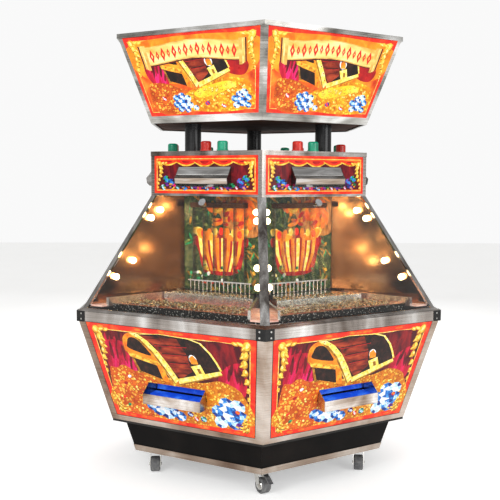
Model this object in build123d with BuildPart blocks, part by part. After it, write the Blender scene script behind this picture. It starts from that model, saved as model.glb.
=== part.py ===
from build123d import *
from math import cos, radians, sin, tan
import os

# Six-sided coin pusher machine.
#
# The machine is a regular hexagon in plan with one corner on -Y.  Its origin is on the floor at
# the centre, +Z up.  A "station" is one of the six playing sides.  Pieces that repeat are drawn
# once, either in the station frame (X outward through the middle of a side, Y along the side) or
# in the corner frame (X outward through a corner), and are then turned into place.

os.makedirs("parts", exist_ok=True)

# ---------------------------------------------------------------- driving dimensions, mm
SIDES = 6
CORNER_AZIMUTHS = [-90 + 60 * k for k in range(SIDES)]
STATION_AZIMUTHS = [-60 + 60 * k for k in range(SIDES)]
GAP = 0.4                      # clearance between neighbouring pieces

# corner radius of the hexagon at each level (level height, corner radius)
SKIRT_BOTTOM = (120.0, 707.0)
SKIRT_TOP = (290.0, 765.0)
CABINET_BOTTOM = (301.0, 828.0)
DECK = (802.0, 1000.0)
DECK_HEIGHT = 46.0
LEDGE = (860.0, 970.0)
UPPER_BOTTOM = (1388.0, 612.0)
UPPER_TOP = 1603.0
TOPPER_BOTTOM = (1739.0, 611.0)
TOPPER_TOP = (2150.0, 786.0)
COLUMN_RADIUS = 430.0

CABINET_TRIM = 26.0
SKIRT_TRIM = 32.0
ROOF_TRIM = 22.0
TOPPER_TRIM = (32.0, 21.0)
POST_LEG = 24.0
LOWER_POST_LEG = 38.0
UPPER_POST_LEG = 20.0

# playfield
BED_TOP = 880.0
BED_THICK = 12.0
BED_BACK, BED_FRONT = 376.0, 760.0
BED_HALF_BACK, BED_HALF_FRONT = 205.0, 362.0
PUSHER_THICK = 31.0
PUSHER_STROKE = 70.0
PUSHER_BACK, PUSHER_FRONT = 240.0, 505.0
BACKBOARD_BOTTOM = 916.0
CRANK_AXIS = 300.0
CRANK_THROW = PUSHER_STROKE / 2
CRANK_PIN_DIA = 10.0
SLOT_CLEARANCE = 8.5

# casters
CASTER_RADIUS = 596.0
WHEEL_DIA = 76.0
WHEEL_WIDTH = 46.0
AXLE_DIA = 8.0
CASTER_TRAIL = 26.0

# doors, cups and fittings
TRAY_WIDTH = 312.0
TRAY_SLOT = (470.0, 528.0)
CUP_WIDTH = 290.0
CUP_BOTTOM, CUP_TOP = 1434.0, 1529.0
BEACON_DIA = 51.0
BEACON_HEIGHT = 50.0
PILLAR_DIA = 82.0
PILLAR_RADIUS = 380.0
BULB_DIA = 30.0


# ---------------------------------------------------------------- hexagon arithmetic
def apothem(corner_radius):
    """Distance from the centre to the middle of a side."""
    return corner_radius * cos(radians(30))


def level(z, low, high):
    """Corner radius at height z of a wall that runs from one (z, radius) level to another."""
    return low[1] + (high[1] - low[1]) * (z - low[0]) / (high[0] - low[0])


def skirt_radius(z):
    return level(z, SKIRT_BOTTOM, SKIRT_TOP)


def cabinet_radius(z):
    return level(z, CABINET_BOTTOM, (DECK[0] + DECK_HEIGHT / 2, DECK[1]))


def glass_radius(z):
    return level(z, LEDGE, UPPER_BOTTOM)


def upper_radius(_z):
    return UPPER_BOTTOM[1]


def topper_radius(z):
    return level(z, TOPPER_BOTTOM, TOPPER_TOP)


# ---------------------------------------------------------------- drawing helpers
def polygon(points, z):
    """A closed outline on the horizontal plane at height z."""
    with BuildSketch(Plane.XY.offset(z)) as outline:
        with BuildLine():
            Polyline(*points, close=True)
        make_face()
    return outline.sketch


def upright_sheet(points, y, thick):
    """Solid between y - thick / 2 and y + thick / 2 with a closed outline of (x, z) points."""
    with BuildPart() as sheet:
        with BuildSketch(Plane.XZ.offset(-y)):
            with BuildLine():
                Polyline(*points, close=True)
            make_face()
        extrude(amount=thick / 2, both=True)
    return sheet.part


def flat_solid(points, z_low, z_high):
    """Solid between two heights with a closed outline of (x, y) points."""
    with BuildPart() as block:
        with BuildSketch(Plane.XY.offset(z_low)):
            with BuildLine():
                Polyline(*points, close=True)
            make_face()
        extrude(amount=z_high - z_low)
    return block.part


def folded_strips(path, thick, width):
    """Flat strips of folded sheet along a path of (x, z) points, one solid each.

    The sheet lies on the left of the path and the strips are mitred at its folds.
    """
    corners = [Vector(*point) for point in path]
    runs = [(end - start).normalized() for start, end in zip(corners, corners[1:])]
    normals = [Vector(-run.Y, run.X) for run in runs]
    before = [normals[0]] + normals
    after = normals + [normals[-1]]
    inner = [
        corner + (last + coming) * (thick / (1 + last.dot(coming)))
        for corner, last, coming in zip(corners, before, after)
    ]
    strips = []
    for number, run in enumerate(runs):
        nudge = run * (GAP / 2)
        outline = [
            corners[number] + nudge,
            corners[number + 1] - nudge,
            inner[number + 1] - nudge,
            inner[number] + nudge,
        ]
        strips.append(upright_sheet([(point.X, point.Y) for point in outline], 0, width))
    return strips


def side_outline(radius, thick, inset, z):
    """Section of one wall of the hexagon, mitred at its ends, in the station frame."""
    outer = apothem(radius)
    inner = outer - thick
    outer_half = outer * tan(radians(30)) - inset
    inner_half = inner * tan(radians(30)) - inset
    points = [(outer, -outer_half), (outer, outer_half), (inner, inner_half), (inner, -inner_half)]
    return polygon(points, z)


def corner_outline(radius, leg, thick, z):
    """Section of a two-legged corner strip, in the corner frame."""
    leg_x, leg_y = -leg * cos(radians(60)), leg * sin(radians(60))
    in_x, in_y = -thick * cos(radians(30)), -thick * sin(radians(30))
    points = [
        (radius, 0),
        (radius + leg_x, leg_y),
        (radius + leg_x + in_x, leg_y + in_y),
        (radius - thick / cos(radians(30)), 0),
        (radius + leg_x + in_x, -leg_y - in_y),
        (radius + leg_x, -leg_y),
    ]
    return polygon(points, z)


def wall(radius_at, z_low, z_high, thick, inset):
    """One flat wall of a straight or tapered hexagon, in the station frame."""
    with BuildPart() as panel:
        loft([
            side_outline(radius_at(z_low), thick, inset, z_low),
            side_outline(radius_at(z_high), thick, inset, z_high),
        ], ruled=True)
    return panel.part


def corner_strip(radius_at, z_low, z_high, leg, thick):
    """One corner strip of a straight or tapered hexagon, in the corner frame."""
    with BuildPart() as strip:
        loft([
            corner_outline(radius_at(z_low), leg, thick, z_low),
            corner_outline(radius_at(z_high), leg, thick, z_high),
        ], ruled=True)
    return strip.part


def hexagon_plate(radius, z_low, z_high):
    """A flat hexagonal plate with a corner on -Y."""
    with BuildPart() as plate:
        with BuildSketch(Plane.XY.offset(z_low)):
            RegularPolygon(radius, SIDES, rotation=30)
        extrude(amount=z_high - z_low)
    return plate.part


def all_round(shapes, azimuths):
    """Repeats shapes at each azimuth as one node of separate solids."""
    with BuildPart() as group:
        for azimuth in azimuths:
            for shape in shapes:
                add(shape, rotation=(0, 0, azimuth), clean=False)
    return group.part


def at_sides(*shapes):
    return all_round(shapes, STATION_AZIMUTHS)


def at_corners(*shapes):
    return all_round(shapes, CORNER_AZIMUTHS)


def save(part, label):
    """Names a finished piece and writes it as its own file."""
    part.label = label
    export_step(part, f"parts/{label}.step")


def join(*groups):
    """Collects finished groups of solids into one node."""
    with BuildPart() as node:
        for group in groups:
            add(group, clean=False)
    return node.part


# ---------------------------------------------------------------- base and casters
PLATE_THICK = 12.0
SKIRT_THICK = 12.0
TRIM_THICK = 2.0
CASTER_PLATE = 4.0
CASTER_PLATE_SIDE = 92.0
KING_PIN_DIA = 12.0
STRUT_SIDE = 40.0
STRUT_RADIUS = 560.0
caster_top = SKIRT_BOTTOM[0] - CASTER_PLATE
skirt_inner = apothem(SKIRT_BOTTOM[1]) - TRIM_THICK - GAP - SKIRT_THICK


def skirt_core_radius(z):
    """The painted skirt lies just behind its metal edge trim."""
    return skirt_radius(z) - (TRIM_THICK + GAP / 2) / cos(radians(30))


with BuildPart() as caster_plate:
    with BuildSketch(Plane.XY.offset(caster_top)):
        with Locations((CASTER_RADIUS, 0)):
            RectangleRounded(CASTER_PLATE_SIDE, CASTER_PLATE_SIDE, 8)
    extrude(amount=CASTER_PLATE)
    with BuildSketch(Plane.XY.offset(caster_top)):
        with Locations((CASTER_RADIUS, 0)):
            Circle(KING_PIN_DIA / 2)
    extrude(amount=-5)

with BuildPart() as floor_strut:
    with BuildSketch(Plane.XY.offset(SKIRT_BOTTOM[0] + PLATE_THICK)):
        with Locations((STRUT_RADIUS, 0)):
            Rectangle(STRUT_SIDE, STRUT_SIDE)
    extrude(amount=SKIRT_TOP[0] - SKIRT_BOTTOM[0] - PLATE_THICK)

floor_board_radius = skirt_inner / cos(radians(30)) - GAP
base_frame = join(
    hexagon_plate(floor_board_radius, SKIRT_BOTTOM[0], SKIRT_BOTTOM[0] + PLATE_THICK),
    at_corners(caster_plate.part, floor_strut.part),
    hexagon_plate(CABINET_BOTTOM[1] - 2, SKIRT_TOP[0], CABINET_BOTTOM[0]),
)
save(base_frame, "base_frame")

skirt_board = wall(skirt_core_radius, SKIRT_BOTTOM[0], SKIRT_TOP[0], SKIRT_THICK, GAP / 2)
save(at_sides(skirt_board), "plinth_skirt")

wheel_z = WHEEL_DIA / 2
fork_top = caster_top - 0.6
LEG_THICK = 3.0
leg_inner = WHEEL_WIDTH / 2 + 1.5
leg_outer = leg_inner + LEG_THICK
hub_x = -CASTER_TRAIL
HEAD_DIA = 62.0
HEAD_THICK = 9.0
NECK_THICK = 4.0
NUT_RADIUS = 7.0
NUT_THICK = 4.0
PEDAL_PIVOT = (-46.0, 90.0)
PEDAL_PIN_DIA = 5.0
PEDAL_HALF = 11.0
EAR_THICK = 3.0


def caster_fork(braked):
    """Swivel head and two legs, with the axle, drawn on the swivel axis."""
    leg_points = [
        (-24, fork_top - HEAD_THICK - 3),
        (22, fork_top - HEAD_THICK - 3),
        (hub_x + 13, wheel_z - 10),
        (hub_x - 13, wheel_z - 10),
    ]
    ear_points = [
        (-20, fork_top - HEAD_THICK),
        (-44, fork_top - HEAD_THICK - 3),
        (-52, 92),
        (-48, 84),
        (-20, 92),
    ]
    with BuildPart() as fork:
        with BuildSketch(Plane.XY.offset(fork_top)):
            Circle(HEAD_DIA / 2)
        extrude(amount=-HEAD_THICK)
        with BuildSketch(Plane.XY.offset(fork_top - HEAD_THICK)):
            Rectangle(46, 2 * leg_outer)
        extrude(amount=-NECK_THICK)
        with BuildSketch(Plane.XY.offset(fork_top)):
            Circle(KING_PIN_DIA / 2 + 0.1)
        extrude(amount=-6, mode=Mode.SUBTRACT)
        for side in (-1, 1):
            add(upright_sheet(leg_points, side * (leg_inner + LEG_THICK / 2), LEG_THICK))
        with BuildSketch(Plane.XZ):
            with Locations((hub_x, wheel_z)):
                Circle(AXLE_DIA / 2)
        extrude(amount=leg_outer + NUT_THICK, both=True)
        for side in (-1, 1):
            with BuildSketch(Plane.XZ.offset(-side * (leg_outer + NUT_THICK / 2))):
                with Locations((hub_x, wheel_z)):
                    RegularPolygon(NUT_RADIUS, 6)
            extrude(amount=NUT_THICK / 2, both=True)
        if braked:
            for side in (-1, 1):
                add(upright_sheet(ear_points, side * (PEDAL_HALF + 2), EAR_THICK))
            with BuildSketch(Plane.XZ):
                with Locations(PEDAL_PIVOT):
                    Circle(PEDAL_PIN_DIA / 2)
            extrude(amount=PEDAL_HALF + 2, both=True)
    return fork.part


def caster_wheel():
    """Tyre and hub as one turned wheel about its axle."""
    radius = WHEEL_DIA / 2
    half = WHEEL_WIDTH / 2
    bore = AXLE_DIA / 2 + 0.06
    half_profile = [
        (radius - 20, half),
        (radius - 17, half - 4),
        (radius - 11, half - 4),
        (radius - 9, half),
        (radius - 4, half),
        (radius, half - 5),
    ]
    near = [(-along, out) for out, along in half_profile]
    far = [(along, out) for out, along in reversed(half_profile)]
    with BuildPart() as wheel:
        with BuildSketch(Plane.YX):
            with BuildLine():
                Polyline((-half, bore), *near, *far, (half, bore), close=True)
            make_face()
        revolve(axis=Axis.Y)
    return wheel.part.moved(Location((hub_x, 0, wheel_z)))


def brake_pedal():
    """Foot pedal hinged between the fork's legs behind the swivel head."""
    pivot_x, pivot_z = PEDAL_PIVOT
    lever = [
        (pivot_x, pivot_z + 5),
        (pivot_x, pivot_z - 5),
        (pivot_x - 16, pivot_z - 8),
        (pivot_x - 48, pivot_z - 28),
        (pivot_x - 52, pivot_z - 24),
        (pivot_x - 20, pivot_z + 1),
    ]
    with BuildPart() as pedal:
        with BuildSketch(Plane.XZ):
            with BuildLine():
                Polyline(*lever, close=True)
            make_face()
            with Locations(PEDAL_PIVOT):
                Circle(5)
                Circle(PEDAL_PIN_DIA / 2 + 0.06, mode=Mode.SUBTRACT)
        extrude(amount=PEDAL_HALF, both=True)
    return pedal.part


# each caster stands as it was last rolled, its trail turned by this much from its corner
CASTER_TRAIL_TURN = [-150, 112, 20, 75, 200, -120]
BRAKED_CASTER = 0


def placed_caster(shape, number):
    """Puts a caster piece drawn on its swivel axis under its corner, its fork turned its own way."""
    corner = Rotation(0, 0, CORNER_AZIMUTHS[number]) * Location((CASTER_RADIUS, 0, 0))
    return shape.moved(corner * Rotation(0, 0, CASTER_TRAIL_TURN[number]))


wheel_shape = caster_wheel()
for number in range(SIDES):
    save(placed_caster(caster_fork(number == BRAKED_CASTER), number), f"caster_fork_{number + 1}")
    save(placed_caster(wheel_shape, number), f"caster_wheel_{number + 1}")
save(placed_caster(brake_pedal(), BRAKED_CASTER), "brake_pedal")

# ---------------------------------------------------------------- lower cabinet
POST_THICK = 14.0
trim_top = CABINET_BOTTOM[0] + CABINET_TRIM
door_low, door_high = trim_top + 3, DECK[0] - 4

steel_trims = join(
    at_sides(
        wall(skirt_radius, SKIRT_BOTTOM[0], SKIRT_BOTTOM[0] + SKIRT_TRIM, TRIM_THICK, GAP / 2),
        wall(cabinet_radius, CABINET_BOTTOM[0] + GAP, trim_top, POST_THICK, GAP / 2),
    ),
    at_corners(corner_strip(cabinet_radius, trim_top + GAP, DECK[0] - GAP, LOWER_POST_LEG, POST_THICK)),
)
save(steel_trims, "steel_trims")

tray_low, tray_high = TRAY_SLOT


def door_face(z):
    """Outer face of the lower door at height z, out from the centre."""
    return apothem(cabinet_radius(z))


TRAY_SHEET = 2.0
TRAY_REACH = 58.0
TRAY_DROP = 34.0
TRAY_BACK = 44.0
TRAY_LIP = 14.0


def lower_door():
    """Art panel with its payout opening, and the steel tray fixed in the opening."""
    with BuildPart() as panel:
        add(wall(cabinet_radius, door_low, door_high, POST_THICK, LOWER_POST_LEG + 3))
        with BuildSketch(Plane.YZ.offset(door_face(tray_low) - 60)):
            with Locations((0, (tray_low + tray_high) / 2)):
                Rectangle(TRAY_WIDTH, tray_high - tray_low)
        extrude(amount=160, mode=Mode.SUBTRACT)

    half = TRAY_WIDTH / 2 - 1.5
    face = door_face(tray_low)
    lip = face + TRAY_REACH
    back = face - TRAY_BACK
    floor = tray_low - TRAY_DROP
    pan_path = [
        (back, tray_low + 4),
        (face + 1, tray_low + 1.5),
        (face + 8, floor),
        (lip, floor),
        (lip, tray_low + TRAY_LIP),
    ]
    pan = folded_strips(pan_path, TRAY_SHEET, 2 * (half - TRAY_SHEET - GAP))
    cheek_points = [
        (back, tray_low + 1),
        (face + 1, tray_low + 1),
        (face + 8, floor),
        (lip, floor),
        (lip, tray_low + TRAY_LIP),
        (door_face(tray_high) - 4, tray_high - 3),
        (back, tray_high - 3),
    ]
    cheek_y = half - TRAY_SHEET / 2
    cheeks = [upright_sheet(cheek_points, side * cheek_y, TRAY_SHEET) for side in (-1, 1)]
    return join(panel.part, *pan, *cheeks)


door_shape = lower_door()
for number, azimuth in enumerate(STATION_AZIMUTHS):
    save(all_round([door_shape], [azimuth]), f"lower_door_{number + 1}")

# ---------------------------------------------------------------- deck rail
rail_outer = apothem(DECK[1])
deck_top = DECK[0] + DECK_HEIGHT
ledge_inner = apothem(LEDGE[1]) - 14


def deck_rail_side():
    """One side of the deck: an upright face and a ledge that rises to the glass."""
    slope_run = rail_outer - apothem(LEDGE[1]) - 2

    def section(outer, z):
        reach = outer - ledge_inner
        return side_outline(outer / cos(radians(30)), reach, GAP / 2, z)

    with BuildPart() as rail:
        loft([section(rail_outer, DECK[0]), section(rail_outer, deck_top)], ruled=True)
        loft([section(rail_outer, deck_top), section(rail_outer - slope_run, LEDGE[0])], ruled=True)
    return rail.part


save(at_sides(deck_rail_side()), "deck_rail")

BRACKET_LEG = 46.0
BRACKET_THICK = 2.0
BRACKET_RADIUS = DECK[1] + 2.6
SCREW_HEAD_DIA = 8.0


def bracket_radius(_z):
    return BRACKET_RADIUS


with BuildPart() as bracket:
    add(corner_strip(bracket_radius, DECK[0] - 3, deck_top + 2, BRACKET_LEG, BRACKET_THICK))
    for side in (-1, 1):
        face_plane = Plane(
            origin=(BRACKET_RADIUS, 0, 0),
            x_dir=(-cos(radians(60)), side * sin(radians(60)), 0),
            z_dir=(cos(radians(30)), side * sin(radians(30)), 0),
        )
        with BuildSketch(face_plane):
            with Locations(*[(28, side * height) for height in (DECK[0] + 10, deck_top - 10)]):
                Circle(SCREW_HEAD_DIA / 2)
        extrude(amount=1.6)
save(at_corners(bracket.part), "deck_brackets")

# ---------------------------------------------------------------- inner frame
UPRIGHT_DIA = 30.0
UPRIGHT_RADIUS = 397.0
BEARER = (36.0, 40.0)
bearer_top = BED_TOP - BED_THICK - 8
bearer_start = UPRIGHT_RADIUS + UPRIGHT_DIA / 2 + GAP
bearer_end = ledge_inner / cos(radians(30)) - BEARER[0] / 2 * tan(radians(30)) - 4
shelf_low, shelf_high = 1090.0, 1100.0

with BuildPart() as frame_post:
    with BuildSketch(Plane.XY.offset(CABINET_BOTTOM[0])):
        with Locations((UPRIGHT_RADIUS, 0)):
            Circle(UPRIGHT_DIA / 2)
            Circle(UPRIGHT_DIA / 2 - 2, mode=Mode.SUBTRACT)
    extrude(amount=UPPER_BOTTOM[0] - CABINET_BOTTOM[0])

with BuildPart() as bearer:
    with BuildSketch(Plane.XY.offset(bearer_top - BEARER[1])):
        with Locations(((bearer_start + bearer_end) / 2, 0)):
            Rectangle(bearer_end - bearer_start, BEARER[0])
    extrude(amount=BEARER[1])


def shelf_radius(_z):
    return UPRIGHT_RADIUS - UPRIGHT_DIA / 2 - 2


# the motors hang from a ring of six boards round an open middle for their cables
SHELF_WIDTH = 220.0
shelf_board = wall(shelf_radius, shelf_low, shelf_high, SHELF_WIDTH, GAP / 2)
save(join(at_corners(frame_post.part, bearer.part), at_sides(shelf_board)), "inner_frame")

# ---------------------------------------------------------------- playfields
side_slope = (BED_HALF_FRONT - BED_HALF_BACK) / (BED_FRONT - BED_BACK)
RAIL_HEIGHT = 30.0
SIDE_RAIL = 14.0
RAIL_NEAR, RAIL_FAR = 440.0, 788.0
LEDGE_NEAR, LEDGE_FAR = 520.0, 810.0
LEDGE_THICK = 8.0
MIRROR_CLEAR = 4.5
NOSE_HEIGHT = 30.0
NOSE_THICK = 6.0


def bed_half(x):
    """Half width of the bed between its side rails, at distance x from the centre."""
    return BED_HALF_BACK + side_slope * (x - BED_BACK)


bed_outline = [
    (BED_BACK, -BED_HALF_BACK),
    (BED_FRONT, -BED_HALF_FRONT),
    (BED_FRONT, BED_HALF_FRONT),
    (BED_BACK, BED_HALF_BACK),
]
bed = flat_solid(bed_outline, BED_TOP - BED_THICK, BED_TOP)

with BuildPart() as bed_nose:
    with BuildSketch(Plane.XY.offset(BED_TOP - NOSE_HEIGHT)):
        with Locations((BED_FRONT + GAP + NOSE_THICK / 2, 0)):
            Rectangle(NOSE_THICK, 2 * BED_HALF_FRONT)
    extrude(amount=NOSE_HEIGHT)


def rail_outline(side):
    """One side rail of the bed, from above."""
    return [
        (RAIL_NEAR, side * (bed_half(RAIL_NEAR) + GAP)),
        (RAIL_FAR, side * (bed_half(RAIL_FAR) + GAP)),
        (RAIL_FAR, side * (bed_half(RAIL_FAR) + SIDE_RAIL)),
        (RAIL_NEAR, side * (bed_half(RAIL_NEAR) + SIDE_RAIL)),
    ]


def ledge_outline(side):
    """The flat ledge between a side rail and the mirror, from above."""
    return [
        (LEDGE_NEAR, side * (bed_half(LEDGE_NEAR) + SIDE_RAIL + GAP)),
        (LEDGE_FAR, side * (bed_half(LEDGE_FAR) + SIDE_RAIL + GAP)),
        (LEDGE_FAR, side * (LEDGE_FAR * tan(radians(30)) - MIRROR_CLEAR)),
        (LEDGE_NEAR, side * (LEDGE_NEAR * tan(radians(30)) - MIRROR_CLEAR)),
    ]


rail_low = BED_TOP - BED_THICK
ledge_low = rail_low - 2
rails = [flat_solid(rail_outline(side), rail_low, BED_TOP + RAIL_HEIGHT) for side in (-1, 1)]
ledges = [flat_solid(ledge_outline(side), ledge_low, ledge_low + LEDGE_THICK) for side in (-1, 1)]
save(at_sides(bed, bed_nose.part, *rails, *ledges), "playfield_beds")

pusher_low = BED_TOP + 0.6
pusher_high = pusher_low + PUSHER_THICK
crank_start = CRANK_AXIS - CRANK_THROW

# half widths of the pusher at distances from the centre
PUSHER_SHAPE = [(PUSHER_BACK, 118.0), (340.0, 172.0), (BED_BACK, 184.0), (PUSHER_FRONT, 250.0)]
SLOT_DEPTH = 14.0


def pusher():
    """Sliding shelf, drawn fully back, with the crank pin's slot across its hidden end."""
    half_slot = CRANK_PIN_DIA / 2 + SLOT_CLEARANCE
    right = [(x, -half) for x, half in PUSHER_SHAPE]
    left = [(x, half) for x, half in reversed(PUSHER_SHAPE)]
    with BuildPart() as shelf:
        add(flat_solid(right + left, pusher_low, pusher_high))
        with BuildSketch(Plane.XY.offset(pusher_high)):
            with Locations((crank_start, 0)):
                Rectangle(2 * half_slot, 2 * (CRANK_THROW + half_slot))
        extrude(amount=-SLOT_DEPTH, mode=Mode.SUBTRACT)
        front_top = shelf.edges().filter_by(Axis.Y).group_by(Axis.Z)[-1].sort_by(Axis.X)[-1]
        fillet(front_top, 3)
    return shelf.part


CRANK_DIA = 92.0
HUB_DIA = 28.0
HUB_HEIGHT = 10.0
MOTOR_SHAFT_DIA = 12.0
SHAFT_REACH = 16.0
PIN_REACH = 15.0


def crank():
    """Crank disc and its pin, drawn with the pin nearest the machine's centre."""
    disc_low, disc_high = pusher_high + 6, pusher_high + 14
    with BuildPart() as disc:
        with BuildSketch(Plane.XY.offset(disc_low)):
            with Locations((CRANK_AXIS, 0)):
                Circle(CRANK_DIA / 2)
        extrude(amount=disc_high - disc_low)
        with BuildSketch(Plane.XY.offset(disc_high)):
            with Locations((CRANK_AXIS, 0)):
                Circle(HUB_DIA / 2)
        extrude(amount=HUB_HEIGHT)
        with BuildSketch(Plane.XY.offset(disc_high + HUB_HEIGHT)):
            with Locations((CRANK_AXIS, 0)):
                Circle(MOTOR_SHAFT_DIA / 2 + 0.06)
        extrude(amount=-SHAFT_REACH, mode=Mode.SUBTRACT)
        with BuildSketch(Plane.XY.offset(disc_low)):
            with Locations((crank_start, 0)):
                Circle(CRANK_PIN_DIA / 2)
        extrude(amount=-PIN_REACH)
    return disc.part


# every other station stands at the end of its stroke
EXTENDED = [number % 2 == 0 for number in range(SIDES)]
pusher_shape = pusher()
crank_shape = crank()
turned_crank = crank_shape.rotate(Axis((CRANK_AXIS, 0, 0), (0, 0, 1)), 180)
pushed = pusher_shape.moved(Location((PUSHER_STROKE, 0, 0)))
for number, azimuth in enumerate(STATION_AZIMUTHS):
    station_pusher = pushed if EXTENDED[number] else pusher_shape
    station_crank = turned_crank if EXTENDED[number] else crank_shape
    save(all_round([station_pusher], [azimuth]), f"pusher_{number + 1}")
    save(all_round([station_crank], [azimuth]), f"crank_{number + 1}")

GEARBOX_HEIGHT = 46.0
MOTOR_DIA = 62.0
box_low = pusher_high + 26
with BuildPart() as gearmotor:
    with BuildSketch(Plane.XY.offset(box_low)):
        with Locations((CRANK_AXIS, 0)):
            RectangleRounded(78, 84, 6)
    extrude(amount=GEARBOX_HEIGHT)
    with BuildSketch(Plane.XY.offset(box_low + GEARBOX_HEIGHT)):
        with Locations((CRANK_AXIS, 0)):
            Circle(MOTOR_DIA / 2)
    extrude(amount=shelf_low - box_low - GEARBOX_HEIGHT)
    with BuildSketch(Plane.XY.offset(box_low)):
        with Locations((CRANK_AXIS, 0)):
            Circle(MOTOR_SHAFT_DIA / 2)
    extrude(amount=-SHAFT_REACH)
save(at_sides(gearmotor.part), "gearmotors")

# ---------------------------------------------------------------- backboards, guides, mirrors
board_outer = apothem(COLUMN_RADIUS)
BOARD_THICK = 12.0


def column_radius(_z):
    return COLUMN_RADIUS


backboard = wall(column_radius, BACKBOARD_BOTTOM, UPPER_BOTTOM[0] - GAP, BOARD_THICK, GAP / 2)
save(at_sides(backboard), "backboards")

PIN_COUNT = 15
PIN_PITCH = 24.0
PIN_DIA = 6.0
pin_low, pin_high = pusher_high + 2, 962.0
FIN_COUNT = 6
FIN_PITCH = 58.0
fin_top = 1330.0
FIN_DEPTH, FIN_THICK = 30.0, 4.0
PIN_BAR_DEPTH, PIN_BAR_HEIGHT = 22.0, 6.0
VALANCE_DEPTH, VALANCE_WIDTH, VALANCE_HEIGHT = 48.0, 300.0, 24.0
guide_back = board_outer + GAP / 2
fin_low = pin_high + PIN_BAR_HEIGHT + GAP

with BuildPart() as pins:
    with BuildSketch(Plane.XY.offset(pin_low)):
        with Locations((board_outer + 16, 0)):
            with GridLocations(1, PIN_PITCH, 1, PIN_COUNT):
                Circle(PIN_DIA / 2)
    extrude(amount=pin_high - pin_low)
    with BuildSketch(Plane.XY.offset(pin_high)):
        with Locations((guide_back + PIN_BAR_DEPTH / 2, 0)):
            Rectangle(PIN_BAR_DEPTH, PIN_PITCH * PIN_COUNT)
    extrude(amount=PIN_BAR_HEIGHT)

with BuildPart() as fins:
    with BuildSketch(Plane.XY.offset(fin_low)):
        with Locations((guide_back + FIN_DEPTH / 2, 0)):
            with GridLocations(1, FIN_PITCH, 1, FIN_COUNT):
                Rectangle(FIN_DEPTH, FIN_THICK)
    extrude(amount=fin_top - fin_low)

with BuildPart() as valance:
    with BuildSketch(Plane.XY.offset(fin_top + GAP)):
        with Locations((guide_back + VALANCE_DEPTH / 2, 0)):
            Rectangle(VALANCE_DEPTH, VALANCE_WIDTH)
    extrude(amount=VALANCE_HEIGHT)

save(at_sides(pins.part, fins.part, valance.part), "coin_guides")

MIRROR_THICK = 6.0
mirror_low, mirror_high = BED_TOP - 18, UPPER_BOTTOM[0] - 2
mirror_start = COLUMN_RADIUS + 2
post_clear = POST_THICK / cos(radians(30)) + POST_LEG / 2 + 2
mirror_outline = [
    (mirror_start, mirror_low),
    (glass_radius(mirror_low) - post_clear, mirror_low),
    (glass_radius(mirror_high) - post_clear, mirror_high),
    (mirror_start, mirror_high),
]
save(at_corners(upright_sheet(mirror_outline, 0, MIRROR_THICK)), "mirror_partitions")

# bulbs stand on both faces of each mirror, at these distances out and heights
BULBS = [(810.0, 1000.0), (722.0, 1075.0), (624.0, 1280.0), (573.0, 1318.0)]
BULB_SOCKET_DIA = 26.0
BULB_SOCKET_HEIGHT = 8.0
mirror_face = MIRROR_THICK / 2 + 0.1
with BuildPart() as lamp_set:
    for bulb_x, height in BULBS:
        for side in (-1, 1):
            with BuildSketch(Plane.XZ.offset(-side * mirror_face)):
                with Locations((bulb_x, height)):
                    Circle(BULB_SOCKET_DIA / 2)
            extrude(amount=-side * BULB_SOCKET_HEIGHT)
            bulb_y = side * (mirror_face + BULB_SOCKET_HEIGHT + BULB_DIA / 2 - 2)
            with Locations((bulb_x, bulb_y, height)):
                Sphere(BULB_DIA / 2)
save(at_corners(lamp_set.part), "lamps")

# ---------------------------------------------------------------- glass and its posts
post = corner_strip(glass_radius, LEDGE[0] + GAP, UPPER_BOTTOM[0] - GAP, POST_LEG, POST_THICK)
save(at_corners(post), "corner_posts")

GLASS_THICK = 6.0
LOCK_DIA = 37.0
LOCK_BARREL_DIA = 22.0
lean = (apothem(LEDGE[1]) - apothem(UPPER_BOTTOM[1])) / (UPPER_BOTTOM[0] - LEDGE[0])
glass_low, glass_high = LEDGE[0] + 1.5, UPPER_BOTTOM[0] - 3
LOCK_HEIGHT = 1358.0


def glass_door():
    """Inward-leaning pane with the lock near its top edge."""
    lock_centre = (apothem(glass_radius(LOCK_HEIGHT)), 0, LOCK_HEIGHT)
    lock_plane = Plane(origin=lock_centre, x_dir=(0, 1, 0), z_dir=(1, 0, lean))
    with BuildPart() as pane:
        add(wall(glass_radius, glass_low, glass_high, GLASS_THICK, POST_LEG + 2))
        with BuildSketch(lock_plane):
            Circle(LOCK_DIA / 2)
        extrude(amount=8)
        with BuildSketch(lock_plane):
            Circle(LOCK_BARREL_DIA / 2)
        extrude(amount=-20)
    return pane.part


glass_shape = glass_door()
for number, azimuth in enumerate(STATION_AZIMUTHS):
    save(all_round([glass_shape], [azimuth]), f"glass_door_{number + 1}")

# ---------------------------------------------------------------- coin chutes
chute_top = BED_TOP - 34
CHUTE_WIDTH = 300.0
CHUTE_SHEET = 2.0
chute_path = [(716, chute_top), (690, tray_low + 62), (712, tray_low + 12)]
chute_cheek = [
    (716, chute_top),
    (800, chute_top),
    (762, tray_high + 30),
    (717, tray_high + 4),
    (717, tray_low + 12),
    (690, tray_low + 62),
]
chute_sheets = folded_strips(chute_path, CHUTE_SHEET, CHUTE_WIDTH)
for side in (-1, 1):
    cheek_y = side * (CHUTE_WIDTH / 2 + CHUTE_SHEET)
    chute_sheets.append(upright_sheet(chute_cheek, cheek_y, CHUTE_SHEET))
save(at_sides(*chute_sheets), "coin_chutes")

# ---------------------------------------------------------------- upper box
UPPER_THICK = 12.0
frame_low = UPPER_BOTTOM[0] + 12
roof_low = UPPER_TOP - ROOF_TRIM
LOWER_RING = 30.0
ROOF_THICK = 8.0


def roof_radius(_z):
    """The roof's edge trim stands 2 mm proud of the box below it."""
    return UPPER_BOTTOM[1] + 2


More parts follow.
